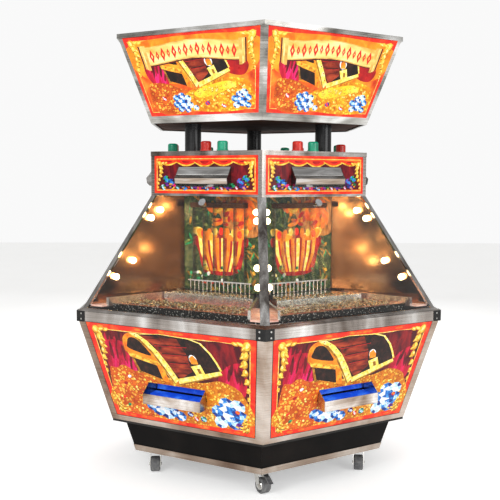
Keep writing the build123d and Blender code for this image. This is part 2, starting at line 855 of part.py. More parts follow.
upper_panel = wall(upper_radius, frame_low + GAP, roof_low - GAP, UPPER_THICK, UPPER_POST_LEG + GAP)
save(at_sides(upper_panel), "upper_panels")
upper_frame = join(
    at_sides(
        wall(upper_radius, UPPER_BOTTOM[0], frame_low, LOWER_RING, GAP / 2),
        wall(roof_radius, roof_low, UPPER_TOP, UPPER_THICK, GAP / 2),
    ),
    at_corners(
        corner_strip(upper_radius, frame_low + GAP, roof_low - GAP, UPPER_POST_LEG, UPPER_THICK),
    ),
    hexagon_plate(UPPER_BOTTOM[1] - 14, UPPER_TOP - ROOF_THICK, UPPER_TOP),
)
save(upper_frame, "upper_frame")

CUP_SHEET = 2.5
EAR_SHEET = 2.0


def coin_cup():
    """Folded cup: back plate, hood above, trough below, and a rounded ear at each end."""
    face = apothem(UPPER_BOTTOM[1]) + GAP
    half = CUP_WIDTH / 2
    inside = face + CUP_SHEET + GAP
    path = [
        (face, CUP_TOP),
        (face, CUP_BOTTOM),
        (face + 22, CUP_BOTTOM),
        (face + 36, CUP_BOTTOM + 14),
        (face + 40, CUP_BOTTOM + 40),
    ]
    hood = [
        (inside, CUP_TOP - 32),
        (face + 24, CUP_TOP - 40),
        (face + 25, CUP_TOP - 37.5),
        (inside, CUP_TOP - CUP_SHEET),
    ]
    ear = [
        (face, CUP_BOTTOM),
        (face + 22, CUP_BOTTOM),
        (face + 36, CUP_BOTTOM + 14),
        (face + 40, CUP_BOTTOM + 40),
        (face + 25, CUP_TOP - 38),
        (face, CUP_TOP),
    ]
    between_ears = CUP_WIDTH - 2 * EAR_SHEET - 2 * GAP
    trough = folded_strips(path, CUP_SHEET, between_ears)
    ears = [upright_sheet(ear, side * (half - EAR_SHEET / 2), EAR_SHEET) for side in (-1, 1)]
    return trough + [upright_sheet(hood, 0, between_ears)] + ears


save(at_sides(*coin_cup()), "coin_cups")

BEACON_OUT = 440.0
BEACON_SPREAD = 46.0
COLLAR_HEIGHT = 8.0


def beacon(side):
    """Domed lamp on a low collar on the roof."""
    with BuildPart() as lamp:
        with BuildSketch(Plane.XY.offset(UPPER_TOP)):
            with Locations((BEACON_OUT, side * BEACON_SPREAD)):
                Circle(BEACON_DIA / 2 + 3)
        extrude(amount=COLLAR_HEIGHT)
        with BuildSketch(Plane.XY.offset(UPPER_TOP + COLLAR_HEIGHT)):
            with Locations((BEACON_OUT, side * BEACON_SPREAD)):
                Circle(BEACON_DIA / 2)
        extrude(amount=BEACON_HEIGHT - COLLAR_HEIGHT)
        fillet(lamp.edges().group_by(Axis.Z)[-1], 10)
    return lamp.part


save(at_sides(beacon(-1)), "beacons_red")
save(at_sides(beacon(1)), "beacons_green")

# ---------------------------------------------------------------- pillars and topper
floor_low = TOPPER_BOTTOM[0] + 6
with BuildPart() as pillar:
    with BuildSketch(Plane.XY.offset(UPPER_TOP)):
        with Locations((PILLAR_RADIUS, 0)):
            Circle(PILLAR_DIA / 2)
            Circle(PILLAR_DIA / 2 - 4, mode=Mode.SUBTRACT)
    extrude(amount=floor_low - UPPER_TOP)
save(all_round([pillar.part], CORNER_AZIMUTHS[1::2]), "support_pillars")

TOPPER_THICK = 12.0
LID_THICK = 6.0
FLOOR_BOARD = 18.0
trim_low, trim_high = TOPPER_TRIM
panel_low, panel_high = TOPPER_BOTTOM[0] + trim_low, TOPPER_TOP[0] - trim_high


def lid_radius(_z):
    return TOPPER_TOP[1]


topper_inset = UPPER_POST_LEG + GAP
topper_panel = wall(topper_radius, panel_low + GAP, panel_high - GAP, TOPPER_THICK, topper_inset)
save(at_sides(topper_panel), "topper_panels")
topper_frame = join(
    at_sides(
        wall(topper_radius, TOPPER_BOTTOM[0], panel_low, TOPPER_THICK, GAP / 2),
        wall(lid_radius, panel_high, TOPPER_TOP[0], TOPPER_THICK, GAP / 2),
    ),
    at_corners(
        corner_strip(topper_radius, panel_low + GAP, panel_high - GAP, UPPER_POST_LEG, TOPPER_THICK),
    ),
    hexagon_plate(TOPPER_TOP[1] - 15, TOPPER_TOP[0] - LID_THICK, TOPPER_TOP[0]),
)
save(topper_frame, "topper_frame")
floor_radius = topper_radius(floor_low) - TOPPER_THICK / cos(radians(30)) - GAP
save(hexagon_plate(floor_radius, floor_low, floor_low + FLOOR_BOARD), "topper_floor")
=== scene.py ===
import math
import random

import bmesh
import bpy
from mathutils import Matrix, Vector
from mathutils.geometry import delaunay_2d_cdt


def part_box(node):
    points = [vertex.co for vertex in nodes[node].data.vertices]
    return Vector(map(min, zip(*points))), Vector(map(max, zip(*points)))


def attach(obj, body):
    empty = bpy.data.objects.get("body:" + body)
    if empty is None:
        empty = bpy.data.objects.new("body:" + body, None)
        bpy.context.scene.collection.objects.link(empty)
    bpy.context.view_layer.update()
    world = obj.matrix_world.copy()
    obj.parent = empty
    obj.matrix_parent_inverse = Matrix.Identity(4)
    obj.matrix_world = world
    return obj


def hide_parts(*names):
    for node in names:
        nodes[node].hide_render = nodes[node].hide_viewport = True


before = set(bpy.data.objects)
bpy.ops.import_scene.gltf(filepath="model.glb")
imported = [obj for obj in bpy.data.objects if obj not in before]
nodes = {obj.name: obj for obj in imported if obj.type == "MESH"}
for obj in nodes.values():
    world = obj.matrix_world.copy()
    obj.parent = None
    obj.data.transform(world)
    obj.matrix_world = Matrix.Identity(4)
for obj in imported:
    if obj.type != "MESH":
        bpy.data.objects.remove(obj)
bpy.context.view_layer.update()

# Looks of the six-sided coin pusher machine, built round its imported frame.
scene = bpy.context.scene

STATION_TURNS = [math.radians(60 * k - 60) for k in range(6)]


def turned(angle):
    return Matrix.Rotation(angle, 4, "Z")


# ---------------------------------------------------------------- material helpers
def new_material(name):
    material = bpy.data.materials.new(name)
    material.use_nodes = True
    tree = material.node_tree
    return material, tree, tree.nodes["Principled BSDF"]


def fill(tree, node, values):
    """Sets a node's inputs from numbers, colours or the outputs of other nodes."""
    for key, value in values.items():
        socket = node.inputs[key]
        if isinstance(value, bpy.types.NodeSocket):
            tree.links.new(value, socket)
        elif socket.type == "RGBA":
            socket.default_value = (*value[:3], 1)
        else:
            socket.default_value = value


def place_on(tree, stretch=(1, 1, 1)):
    """Object coordinates, stretched."""
    source = tree.nodes.new("ShaderNodeTexCoord")
    mapping = tree.nodes.new("ShaderNodeMapping")
    fill(tree, mapping, {"Scale": stretch, "Vector": source.outputs["Object"]})
    return mapping.outputs["Vector"]


def noise(tree, scale, stretch=(1, 1, 1), detail=4.0, distortion=0.0):
    node = tree.nodes.new("ShaderNodeTexNoise")
    place = place_on(tree, stretch)
    fill(tree, node, {"Scale": scale, "Detail": detail, "Distortion": distortion, "Vector": place})
    return node.outputs["Fac"]


def cells(tree, scale, output="Distance"):
    node = tree.nodes.new("ShaderNodeTexVoronoi")
    fill(tree, node, {"Scale": scale, "Vector": place_on(tree)})
    return node.outputs[output]


def ramp(tree, factor, stops):
    """Colour ramp from (position, colour) stops."""
    node = tree.nodes.new("ShaderNodeValToRGB")
    elements = node.color_ramp.elements
    while len(elements) < len(stops):
        elements.new(0.5)
    for element, (position, colour) in zip(elements, stops):
        element.position = position
        element.color = (*colour, 1)
    fill(tree, node, {"Fac": factor})
    return node.outputs["Color"]


def blended(tree, low, high, factor):
    """Mix of two values by a factor, which is a number or a socket."""
    node = tree.nodes.new("ShaderNodeMix")
    fill(tree, node, {2: low, 3: high, 0: factor})
    return node.outputs[0]


def mixed_colour(tree, low, high, factor, mode="MIX"):
    node = tree.nodes.new("ShaderNodeMix")
    node.data_type = "RGBA"
    node.blend_type = mode
    fill(tree, node, {6: low, 7: high, 0: factor})
    return node.outputs[2]


def relief(tree, shader, height, strength, distance=0.001):
    node = tree.nodes.new("ShaderNodeBump")
    fill(tree, node, {"Strength": strength, "Distance": distance, "Height": height})
    fill(tree, shader, {"Normal": node.outputs["Normal"]})


def spread(stops, low=0.25, high=0.75):
    """Colours spaced evenly over the middle of a noise's range."""
    count = len(stops) - 1
    return [(low + (high - low) * i / count, colour) for i, colour in enumerate(stops)]


# ---------------------------------------------------------------- materials
def brushed(
    name, tones, rough, streak=(5, 5, 420), patch=(3, 3, 5), share=0.35, strength=0.12, span=(0.25, 0.75)
):
    """Bare metal: soft patches of tone, brushing along one direction, and roughness that follows both."""
    material, tree, shader = new_material(name)
    patches = noise(tree, 1.0, patch, 5, 0.6)
    lines = noise(tree, 1.0, streak, 3)
    both = blended(tree, patches, lines, share)
    fill(tree, shader, {
        "Base Color": ramp(tree, both, spread(tones, *span)),
        "Roughness": blended(tree, rough - 0.07, rough + 0.12, lines),
        "Metallic": 1.0,
    })
    relief(tree, shader, lines, strength)
    return material


def coated(
    name, tones, rough, scale, strength=0.1, coat=0.0, stretch=(1, 1, 1), detail=5.0, metallic=0.0,
    shine=0.4
):
    """Paint, laminate, rubber or plastic: mottled tone, uneven gloss and a fine surface relief."""
    material, tree, shader = new_material(name)
    tone = noise(tree, scale, stretch, detail, 0.3)
    fine = noise(tree, scale * 14, stretch, 3)
    fill(tree, shader, {
        "Base Color": ramp(tree, tone, spread(tones)),
        "Roughness": blended(tree, max(0.02, rough - 0.08), rough + 0.1, fine),
        "Coat Weight": coat,
        "Coat Roughness": 0.08,
        "Specular IOR Level": shine,
        "Metallic": metallic,
    })
    relief(tree, shader, fine, strength)
    return material


def punched(name, ground, tones):
    """Dark strip with a fine row of bright studs and spots of wear."""
    material, tree, shader = new_material(name)
    dots = cells(tree, 95)
    tone = ramp(tree, noise(tree, 26, detail=3), spread(tones))
    mask = ramp(tree, dots, [(0.0, (1, 1, 1)), (0.2, (1, 1, 1)), (0.3, (0, 0, 0))])
    fill(tree, shader, {
        "Base Color": mixed_colour(tree, ground, tone, mask),
        "Roughness": blended(tree, 0.3, 0.55, noise(tree, 60)),
        "Metallic": 0.6,
    })
    relief(tree, shader, dots, 0.3)
    return material


def see_through(name, tint, gloss, dust):
    """Clear sheet: tinted see-through with a mirror sheen by angle, and a faint haze of dust."""
    material, tree, shader = new_material(name)
    tree.nodes.remove(shader)
    clear = tree.nodes.new("ShaderNodeBsdfTransparent")
    fill(tree, clear, {"Color": tint})
    mirror = tree.nodes.new("ShaderNodeBsdfGlossy")
    smudge = noise(tree, 9, (1, 1, 2), 6, 0.8)
    fill(tree, mirror, {"Roughness": blended(tree, 0.01, 0.05, smudge)})
    haze = tree.nodes.new("ShaderNodeBsdfDiffuse")
    fill(tree, haze, {"Color": (0.9, 0.88, 0.84)})
    fresnel = tree.nodes.new("ShaderNodeFresnel")
    fill(tree, fresnel, {"IOR": gloss})
    sheen = tree.nodes.new("ShaderNodeMixShader")
    fill(tree, sheen, {0: fresnel.outputs["Fac"], 1: clear.outputs["BSDF"], 2: mirror.outputs["BSDF"]})
    dusty = tree.nodes.new("ShaderNodeMixShader")
    fill(tree, dusty, {0: blended(tree, 0.0, dust, smudge), 1: sheen.outputs[0], 2: haze.outputs["BSDF"]})
    fill(tree, tree.nodes["Material Output"], {"Surface": dusty.outputs[0]})
    return material


def lit(name, tones, glow, strength, rough=0.25, scale=30.0):
    """Coloured plastic or glass that is lit from inside, or a sheet given a painted glow."""
    material, tree, shader = new_material(name)
    fill(tree, shader, {
        "Base Color": ramp(tree, noise(tree, scale, detail=3), spread(tones)),
        "Emission Color": glow,
        "Emission Strength": strength,
        "Roughness": blended(tree, rough - 0.1, rough + 0.1, noise(tree, scale * 3)),
    })
    relief(tree, shader, noise(tree, scale * 4), 0.08)
    return material


INK_COAT = 0.08
INK_SHINE = 0.22
INKS = {}


def gloss_film(tree, shader, colour, height, strength):
    """Printed colour under a film of slightly uneven gloss."""
    fill(tree, shader, {
        "Base Color": colour,
        "Roughness": blended(tree, 0.2, 0.38, noise(tree, 18)),
        "Coat Weight": INK_COAT,
        "Coat Roughness": 0.06,
        "Specular IOR Level": INK_SHINE,
    })
    relief(tree, shader, height, strength)


def ink(name, tones, scale, stretch=(1, 1, 1), detail=4.0, distortion=0.6):
    """One printed colour, mottled and speckled."""
    material, tree, shader = new_material("ink_" + name)
    colour = ramp(tree, noise(tree, scale, stretch, detail, distortion), spread(tones, 0.28, 0.72))
    speckle = noise(tree, 260, detail=3)
    grain = ramp(tree, speckle, spread([(0.55, 0.5, 0.48), (1, 1, 1)]))
    gloss_film(tree, shader, mixed_colour(tree, colour, grain, 0.3, "MULTIPLY"), speckle, 0.03)
    INKS[name] = material


def coin_heap_ink(name, tones):
    """Heap of round coins: each cell is a disc with its own tone and a dark rim."""
    material, tree, shader = new_material("ink_" + name)
    distance = cells(tree, 62)
    split = tree.nodes.new("ShaderNodeSeparateColor")
    fill(tree, split, {"Color": cells(tree, 62, "Color")})
    disc = ramp(tree, distance, [
        (0.0, tones[3]), (0.2, tones[2]), (0.36, tones[2]), (0.44, tones[0]), (0.6, tones[1])
    ])
    tone = ramp(tree, split.outputs["Red"], [
        (0.0, (0.72, 0.42, 0.2)), (0.45, (1, 0.9, 0.7)), (1.0, (1, 1, 1))
    ])
    patch = ramp(tree, noise(tree, 9, detail=3), spread([(0.55, 0.3, 0.12), (1, 1, 1)], 0.35, 0.6))
    colour = mixed_colour(tree, mixed_colour(tree, disc, tone, 0.85, "MULTIPLY"), patch, 0.7, "MULTIPLY")
    gloss_film(tree, shader, colour, distance, 0.04)
    INKS[name] = material


CLOTH = (3.2, 0.8, 1)
ink("red", [(0.62, 0.015, 0.008), (0.86, 0.03, 0.012), (0.95, 0.14, 0.02)], 14)
ink("red_deep", [(0.2, 0.004, 0.01), (0.42, 0.008, 0.01), (0.62, 0.02, 0.012)], 20)
ink("maroon", [(0.012, 0.002, 0.004), (0.09, 0.006, 0.01), (0.2, 0.012, 0.012)], 16)
ink("gold_line", [(0.75, 0.3, 0.03), (0.95, 0.62, 0.1), (1, 0.82, 0.35)], 60)
ink("gold", [(0.42, 0.14, 0.01), (0.86, 0.45, 0.03), (1, 0.76, 0.12)], 46)
ink("gold_light", [(0.86, 0.5, 0.04), (1, 0.78, 0.14), (1, 0.93, 0.5)], 50)
ink("gold_dark", [(0.1, 0.035, 0.004), (0.36, 0.15, 0.012), (0.6, 0.3, 0.03)], 50)
ink("crimson", [(0.12, 0.001, 0.008), (0.44, 0.004, 0.026), (0.7, 0.01, 0.05)], 9, CLOTH, 6.0, 1.2)
ink("magenta", [(0.42, 0.003, 0.04), (0.72, 0.008, 0.12), (0.86, 0.03, 0.24)], 9, CLOTH, 6.0, 1.2)
ink("rose", [(0.3, 0.002, 0.02), (0.6, 0.006, 0.06), (0.8, 0.015, 0.12)], 9, CLOTH, 6.0)
ink("yellow", [(0.98, 0.46, 0.015), (1, 0.68, 0.03), (1, 0.86, 0.16)], 12, detail=7.0)
ink("dusk", [(0.03, 0.002, 0.005), (0.13, 0.004, 0.01), (0.28, 0.01, 0.012)], 9, CLOTH, 6.0, 1.2)
ink("black", [(0.003, 0.002, 0.002), (0.015, 0.006, 0.004), (0.05, 0.014, 0.01)], 30)
ink("planks", [(0.014, 0.004, 0.002), (0.24, 0.02, 0.008), (0.5, 0.07, 0.02)], 20, stretch=(0.6, 2.2, 1))
coin_heap_ink("coins", [(0.5, 0.14, 0.01), (0.72, 0.26, 0.015), (0.98, 0.66, 0.08), (1, 0.9, 0.4)])
coin_heap_ink("coins_lit", [(0.75, 0.28, 0.01), (0.9, 0.4, 0.01), (1, 0.78, 0.06), (1, 0.93, 0.3)])
coin_heap_ink("coins_red", [(0.45, 0.05, 0.008), (0.7, 0.14, 0.012), (0.96, 0.48, 0.06), (1, 0.74, 0.24)])
ink("blue", [(0.005, 0.05, 0.3), (0.02, 0.2, 0.66), (0.12, 0.45, 0.9)], 60)
ink("navy", [(0.004, 0.01, 0.07), (0.01, 0.035, 0.24), (0.02, 0.1, 0.42)], 60)
ink("sky", [(0.2, 0.52, 0.86), (0.5, 0.76, 0.95), (0.85, 0.95, 1)], 60)
ink("white", [(0.62, 0.7, 0.8), (0.86, 0.9, 0.93), (1, 1, 1)], 50)
ink("purple", [(0.03, 0.005, 0.1), (0.16, 0.02, 0.3), (0.4, 0.1, 0.55)], 50)
ink("green", [(0.004, 0.06, 0.025), (0.01, 0.22, 0.08), (0.06, 0.5, 0.2)], 50)
ink("orange", [(0.75, 0.12, 0.006), (0.93, 0.27, 0.012), (1, 0.48, 0.03)], 15)
ink("ember", [(0.5, 0.03, 0.006), (0.84, 0.12, 0.01), (0.98, 0.34, 0.03)], 14)
ink("cream", [(0.86, 0.4, 0.06), (1, 0.7, 0.22), (1, 0.86, 0.48)], 14, stretch=(0.5, 1.6, 1), detail=6.0)
ink("cream_dark", [(0.5, 0.24, 0.04), (0.78, 0.45, 0.1), (0.95, 0.66, 0.2)], 20)
ink(
    "leaf_dark", [(0.003, 0.01, 0.004), (0.02, 0.05, 0.015), (0.16, 0.17, 0.05)], 44, detail=10.0,
    distortion=1.6
)
ink("leaf", [(0.02, 0.06, 0.02), (0.12, 0.2, 0.05), (0.45, 0.45, 0.1)], 40, detail=8.0)
ink("bark", [(0.1, 0.03, 0.01), (0.42, 0.16, 0.04), (0.7, 0.32, 0.08)], 30, stretch=(2.2, 0.6, 1), detail=7.0)
INK_NAMES = list(INKS)

NARROW = (0.34, 0.66)
DECK = brushed(
    "deck_aluminium", [(0.1, 0.075, 0.06), (0.4, 0.36, 0.33), (0.8, 0.78, 0.76)], 0.24, patch=(6, 6, 1.2),
    share=0.2, span=NARROW
)
STEEL = brushed(
    "trim_steel", [(0.13, 0.08, 0.055), (0.36, 0.28, 0.22), (0.66, 0.6, 0.54)], 0.28, patch=(3.4, 3.4, 2),
    share=0.22, span=NARROW
)
POST = brushed(
    "post_steel", [(0.12, 0.1, 0.09), (0.42, 0.4, 0.38), (0.82, 0.81, 0.8)], 0.16, streak=(300, 300, 7),
    patch=(12, 12, 2.4), share=0.25, span=NARROW
)
TOPPER_METAL = brushed(
    "topper_aluminium", [(0.1, 0.09, 0.08), (0.4, 0.39, 0.36), (0.86, 0.85, 0.83)], 0.26, patch=(4, 4, 9),
    share=0.25, span=NARROW
)
# painted reflection: tone patches stretched tall paint bands of mirrored surroundings across the chrome hood
CHROME = brushed(
    "cup_chrome", [(0.09, 0.08, 0.075), (0.52, 0.51, 0.5), (0.95, 0.95, 0.95)], 0.1, streak=(3, 3, 240),
    patch=(5, 5, 34), share=0.2, strength=0.05
)
# painted shade: a darker copy of the chrome for the trough behind the hood
CHROME_SHADE = brushed(
    "cup_shade", [(0.05, 0.04, 0.035), (0.16, 0.15, 0.14), (0.4, 0.39, 0.38)], 0.14, streak=(3, 3, 240),
    patch=(6, 6, 20)
)
# painted reflection: dark and light bands stretched tall paint the mirrored surroundings across the cup's
# front
CHROME_BAND = brushed(
    "cup_band", [(0.14, 0.08, 0.05), (0.5, 0.4, 0.32), (0.92, 0.9, 0.88)], 0.12, streak=(3, 3, 240),
    patch=(4, 4, 60), share=0.15
)
ZINC = brushed(
    "caster_zinc", [(0.26, 0.25, 0.23), (0.5, 0.49, 0.46), (0.74, 0.73, 0.7)], 0.26, streak=(90, 90, 90),
    strength=0.08
)
# partly painted reflection: brushed steel whose brown to white patches stand in for the surroundings mirrored
# in it
TRAY = brushed(
    "tray_steel", [(0.2, 0.13, 0.09), (0.46, 0.38, 0.32), (0.86, 0.84, 0.82)], 0.2, streak=(4, 4, 300),
    patch=(6, 6, 9), share=0.25, span=NARROW
)
RAILS = brushed(
    "rail_steel", [(0.5, 0.42, 0.36), (0.78, 0.74, 0.7), (0.95, 0.94, 0.92)], 0.18, streak=(60, 60, 300),
    patch=(9, 9, 5)
)
SHELF = brushed(
    "shelf_aluminium", [(0.5, 0.47, 0.44), (0.72, 0.7, 0.68), (0.92, 0.91, 0.9)], 0.24,
    streak=(90, 90, 300), patch=(9, 9, 5)
)
BRONZE = brushed(
    "bronze_mirror", [(0.3, 0.14, 0.06), (0.5, 0.28, 0.14), (0.72, 0.48, 0.3)], 0.11, streak=(2, 2, 5),
    patch=(5, 5, 8), share=0.2, strength=0.01
)
COIN = brushed(
    "coin_metal", [(0.2, 0.13, 0.05), (0.72, 0.62, 0.4), (0.98, 0.97, 0.93)], 0.24, streak=(80, 80, 80),
    patch=(52, 52, 52), share=0.1
)
CRANK = brushed(
    "crank_steel", [(0.3, 0.3, 0.31), (0.5, 0.5, 0.52), (0.66, 0.66, 0.68)], 0.3, streak=(160, 160, 160)
)
LOCK = brushed(
    "lock_chrome", [(0.4, 0.4, 0.4), (0.66, 0.66, 0.66), (0.92, 0.92, 0.92)], 0.16, streak=(120, 120, 120)
)

BLACK_BOARD = coated(
    "black_board", [(0.006, 0.006, 0.006), (0.014, 0.013, 0.012), (0.03, 0.028, 0.026)], 0.42, 6, shine=0.2
)
SKIRT = coated(
    "skirt_laminate", [(0.0015, 0.0013, 0.0012), (0.0035, 0.003, 0.0028), (0.009, 0.007, 0.006)], 0.4, 4,
    0.03, shine=0.06
)
BRACKET = coated(
    "bracket_black", [(0.003, 0.003, 0.003), (0.008, 0.008, 0.008), (0.024, 0.022, 0.02)], 0.34, 30,
    shine=0.3
)
PAINT = coated("frame_paint", [(0.02, 0.02, 0.022), (0.05, 0.05, 0.055), (0.09, 0.09, 0.1)], 0.4, 12)
RUBBER = coated("tyre_rubber", [(0.05, 0.05, 0.052), (0.11, 0.11, 0.112), (0.2, 0.198, 0.19)], 0.6, 40, 0.25)
PEDAL = coated("pedal_paint", [(0.03, 0.03, 0.032), (0.07, 0.07, 0.075), (0.16, 0.155, 0.15)], 0.4, 60, 0.2)
BED = coated("bed_laminate", [(0.05, 0.008, 0.004), (0.3, 0.05, 0.02), (0.6, 0.26, 0.1)], 0.26, 46, 0.04, 0.1)
NOSE = punched("nose_strip", (0.012, 0.009, 0.008), [
    (0.3, 0.05, 0.03), (0.55, 0.5, 0.44), (0.85, 0.82, 0.78)
])
MOTOR = coated("motor_iron", [(0.05, 0.06, 0.065), (0.1, 0.12, 0.13), (0.18, 0.2, 0.21)], 0.45, 30, 0.3)
PILLAR = coated(
    "pillar_black", [(0.004, 0.004, 0.005), (0.011, 0.011, 0.012), (0.03, 0.03, 0.03)], 0.24, 10, 0.05,
    0.12, shine=0.3
)
WOOD = coated(
    "dark_wood", [(0.022, 0.008, 0.005), (0.06, 0.024, 0.014), (0.12, 0.05, 0.028)], 0.75, 5, 0.2,
    stretch=(0.5, 6, 1), detail=8, shine=0.08
)
EDGE = coated("panel_edge", [(0.1, 0.01, 0.006), (0.2, 0.02, 0.01), (0.34, 0.04, 0.02)], 0.4, 20)
LEDGE = coated(
    "ledge_pink", [(0.55, 0.08, 0.04), (0.9, 0.5, 0.4), (0.96, 0.86, 0.8)], 0.25, 26, 0.05, 0.3,
    stretch=(1, 1, 8)
)
SOCKET = coated(
    "lamp_socket", [(0.3, 0.24, 0.18), (0.5, 0.42, 0.34), (0.72, 0.66, 0.56)], 0.3, 60, 0.1, metallic=0.6
)

PANE = see_through("pane", (0.97, 0.985, 0.98), 1.25, 0.012)
ACRYLIC = see_through("acrylic", (0.985, 0.995, 0.99), 1.2, 0.05)


def add_glow(material, colour, strength):
    tree = material.node_tree
    fill(tree, tree.nodes["Principled BSDF"], {"Emission Color": colour, "Emission Strength": strength})


# painted glow: the pink ledges and the steel rails and pins give off the bulbs' warm light themselves, though
# they are no lamps
add_glow(LEDGE, (1, 0.62, 0.5), 0.3)
add_glow(RAILS, (1, 0.62, 0.5), 0.06)
BULB = lit("bulb_glass", [(1, 0.8, 0.5), (1, 0.9, 0.7), (1, 0.96, 0.86)], (1.0, 0.72, 0.36), 16.0)
# painted glow: the tray's blue back gives off light though it is no lamp, standing in for a blue highlight on
# it
TRAY_BLUE = lit(
    "tray_blue", [(0.004, 0.02, 0.2), (0.01, 0.08, 0.6), (0.1, 0.4, 1.0)], (0.008, 0.06, 0.62), 0.55, 0.2,
    14.0
)
RED_LENS = lit(
    "red_lens", [(0.3, 0.006, 0.004), (0.55, 0.014, 0.01), (0.75, 0.04, 0.02)], (0.8, 0.03, 0.01), 0.12
)
GREEN_LENS = lit(
    "green_lens", [(0.004, 0.12, 0.07), (0.008, 0.27, 0.15), (0.03, 0.44, 0.25)], (0.01, 0.5, 0.25), 0.1
)


# ---------------------------------------------------------------- mesh helpers
def crisp(bm, angle=35):
    """Smooth curved faces and keep real edges sharp."""
    limit = math.radians(angle)
    for face in bm.faces:
        face.smooth = True
    for edge in bm.edges:
        edge.smooth = edge.is_manifold and edge.calc_face_angle(0) < limit


def piece(name, mesh, body, place=Matrix.Identity(4)):
    obj = bpy.data.objects.new(name, mesh)
    scene.collection.objects.link(obj)
    obj.matrix_world = place
    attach(obj, body)
    return obj


def solids(bm):
    """Separate solids of a welded mesh, each as a list of faces."""
    waiting, found = set(bm.faces), []
    while waiting:
        seed = waiting.pop()
        group, edge_of_group = [seed], [seed]
        while edge_of_group:
            for edge in edge_of_group.pop().edges:
                for face in edge.link_faces:
                    if face in waiting:
                        waiting.remove(face)
                        group.append(face)
                        edge_of_group.append(face)
        found.append(group)
    return found


def dress(node, name, materials, choose, body="cabinet"):
    """Stands a welded copy in for a node; choose(size, low, high, face) gives a face's material number."""
    bm = bmesh.new()
    bm.from_mesh(nodes[node].data)
    bmesh.ops.remove_doubles(bm, verts=bm.verts, dist=1e-6)
    for group in solids(bm):
        points = [v.co for face in group for v in face.verts]
        low = Vector([min(p[i] for p in points) for i in range(3)])
        high = Vector([max(p[i] for p in points) for i in range(3)])
        for face in group:
            face.material_index = choose(high - low, low, high, face)
    crisp(bm)
    mesh = bpy.data.meshes.new(name)
    bm.to_mesh(mesh)
    bm.free()
    for material in materials:
        mesh.materials.append(material)
    obj = piece(name, mesh, body)
    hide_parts(node)


def wear(node, material):
    """Gives a CAD node its better material."""
    obj = nodes[node]
    obj.data.materials.clear()
    obj.data.materials.append(material)


# ---------------------------------------------------------------- printed panels
def smooth(points, steps=5):
    """Closed rounded outline through the points."""
    count, outline = len(points), []
    for i in range(count):
        a, b, c, d = (Vector(points[(i + k - 1) % count]) for k in range(4))
        for step in range(steps):
            t = step / steps
            square, cube = 2 * a - 5 * b + 4 * c - d, 3 * b - a - 3 * c + d
            outline.append(0.5 * (2 * b + (c - a) * t + square * t * t + cube * t ** 3))
    return outline


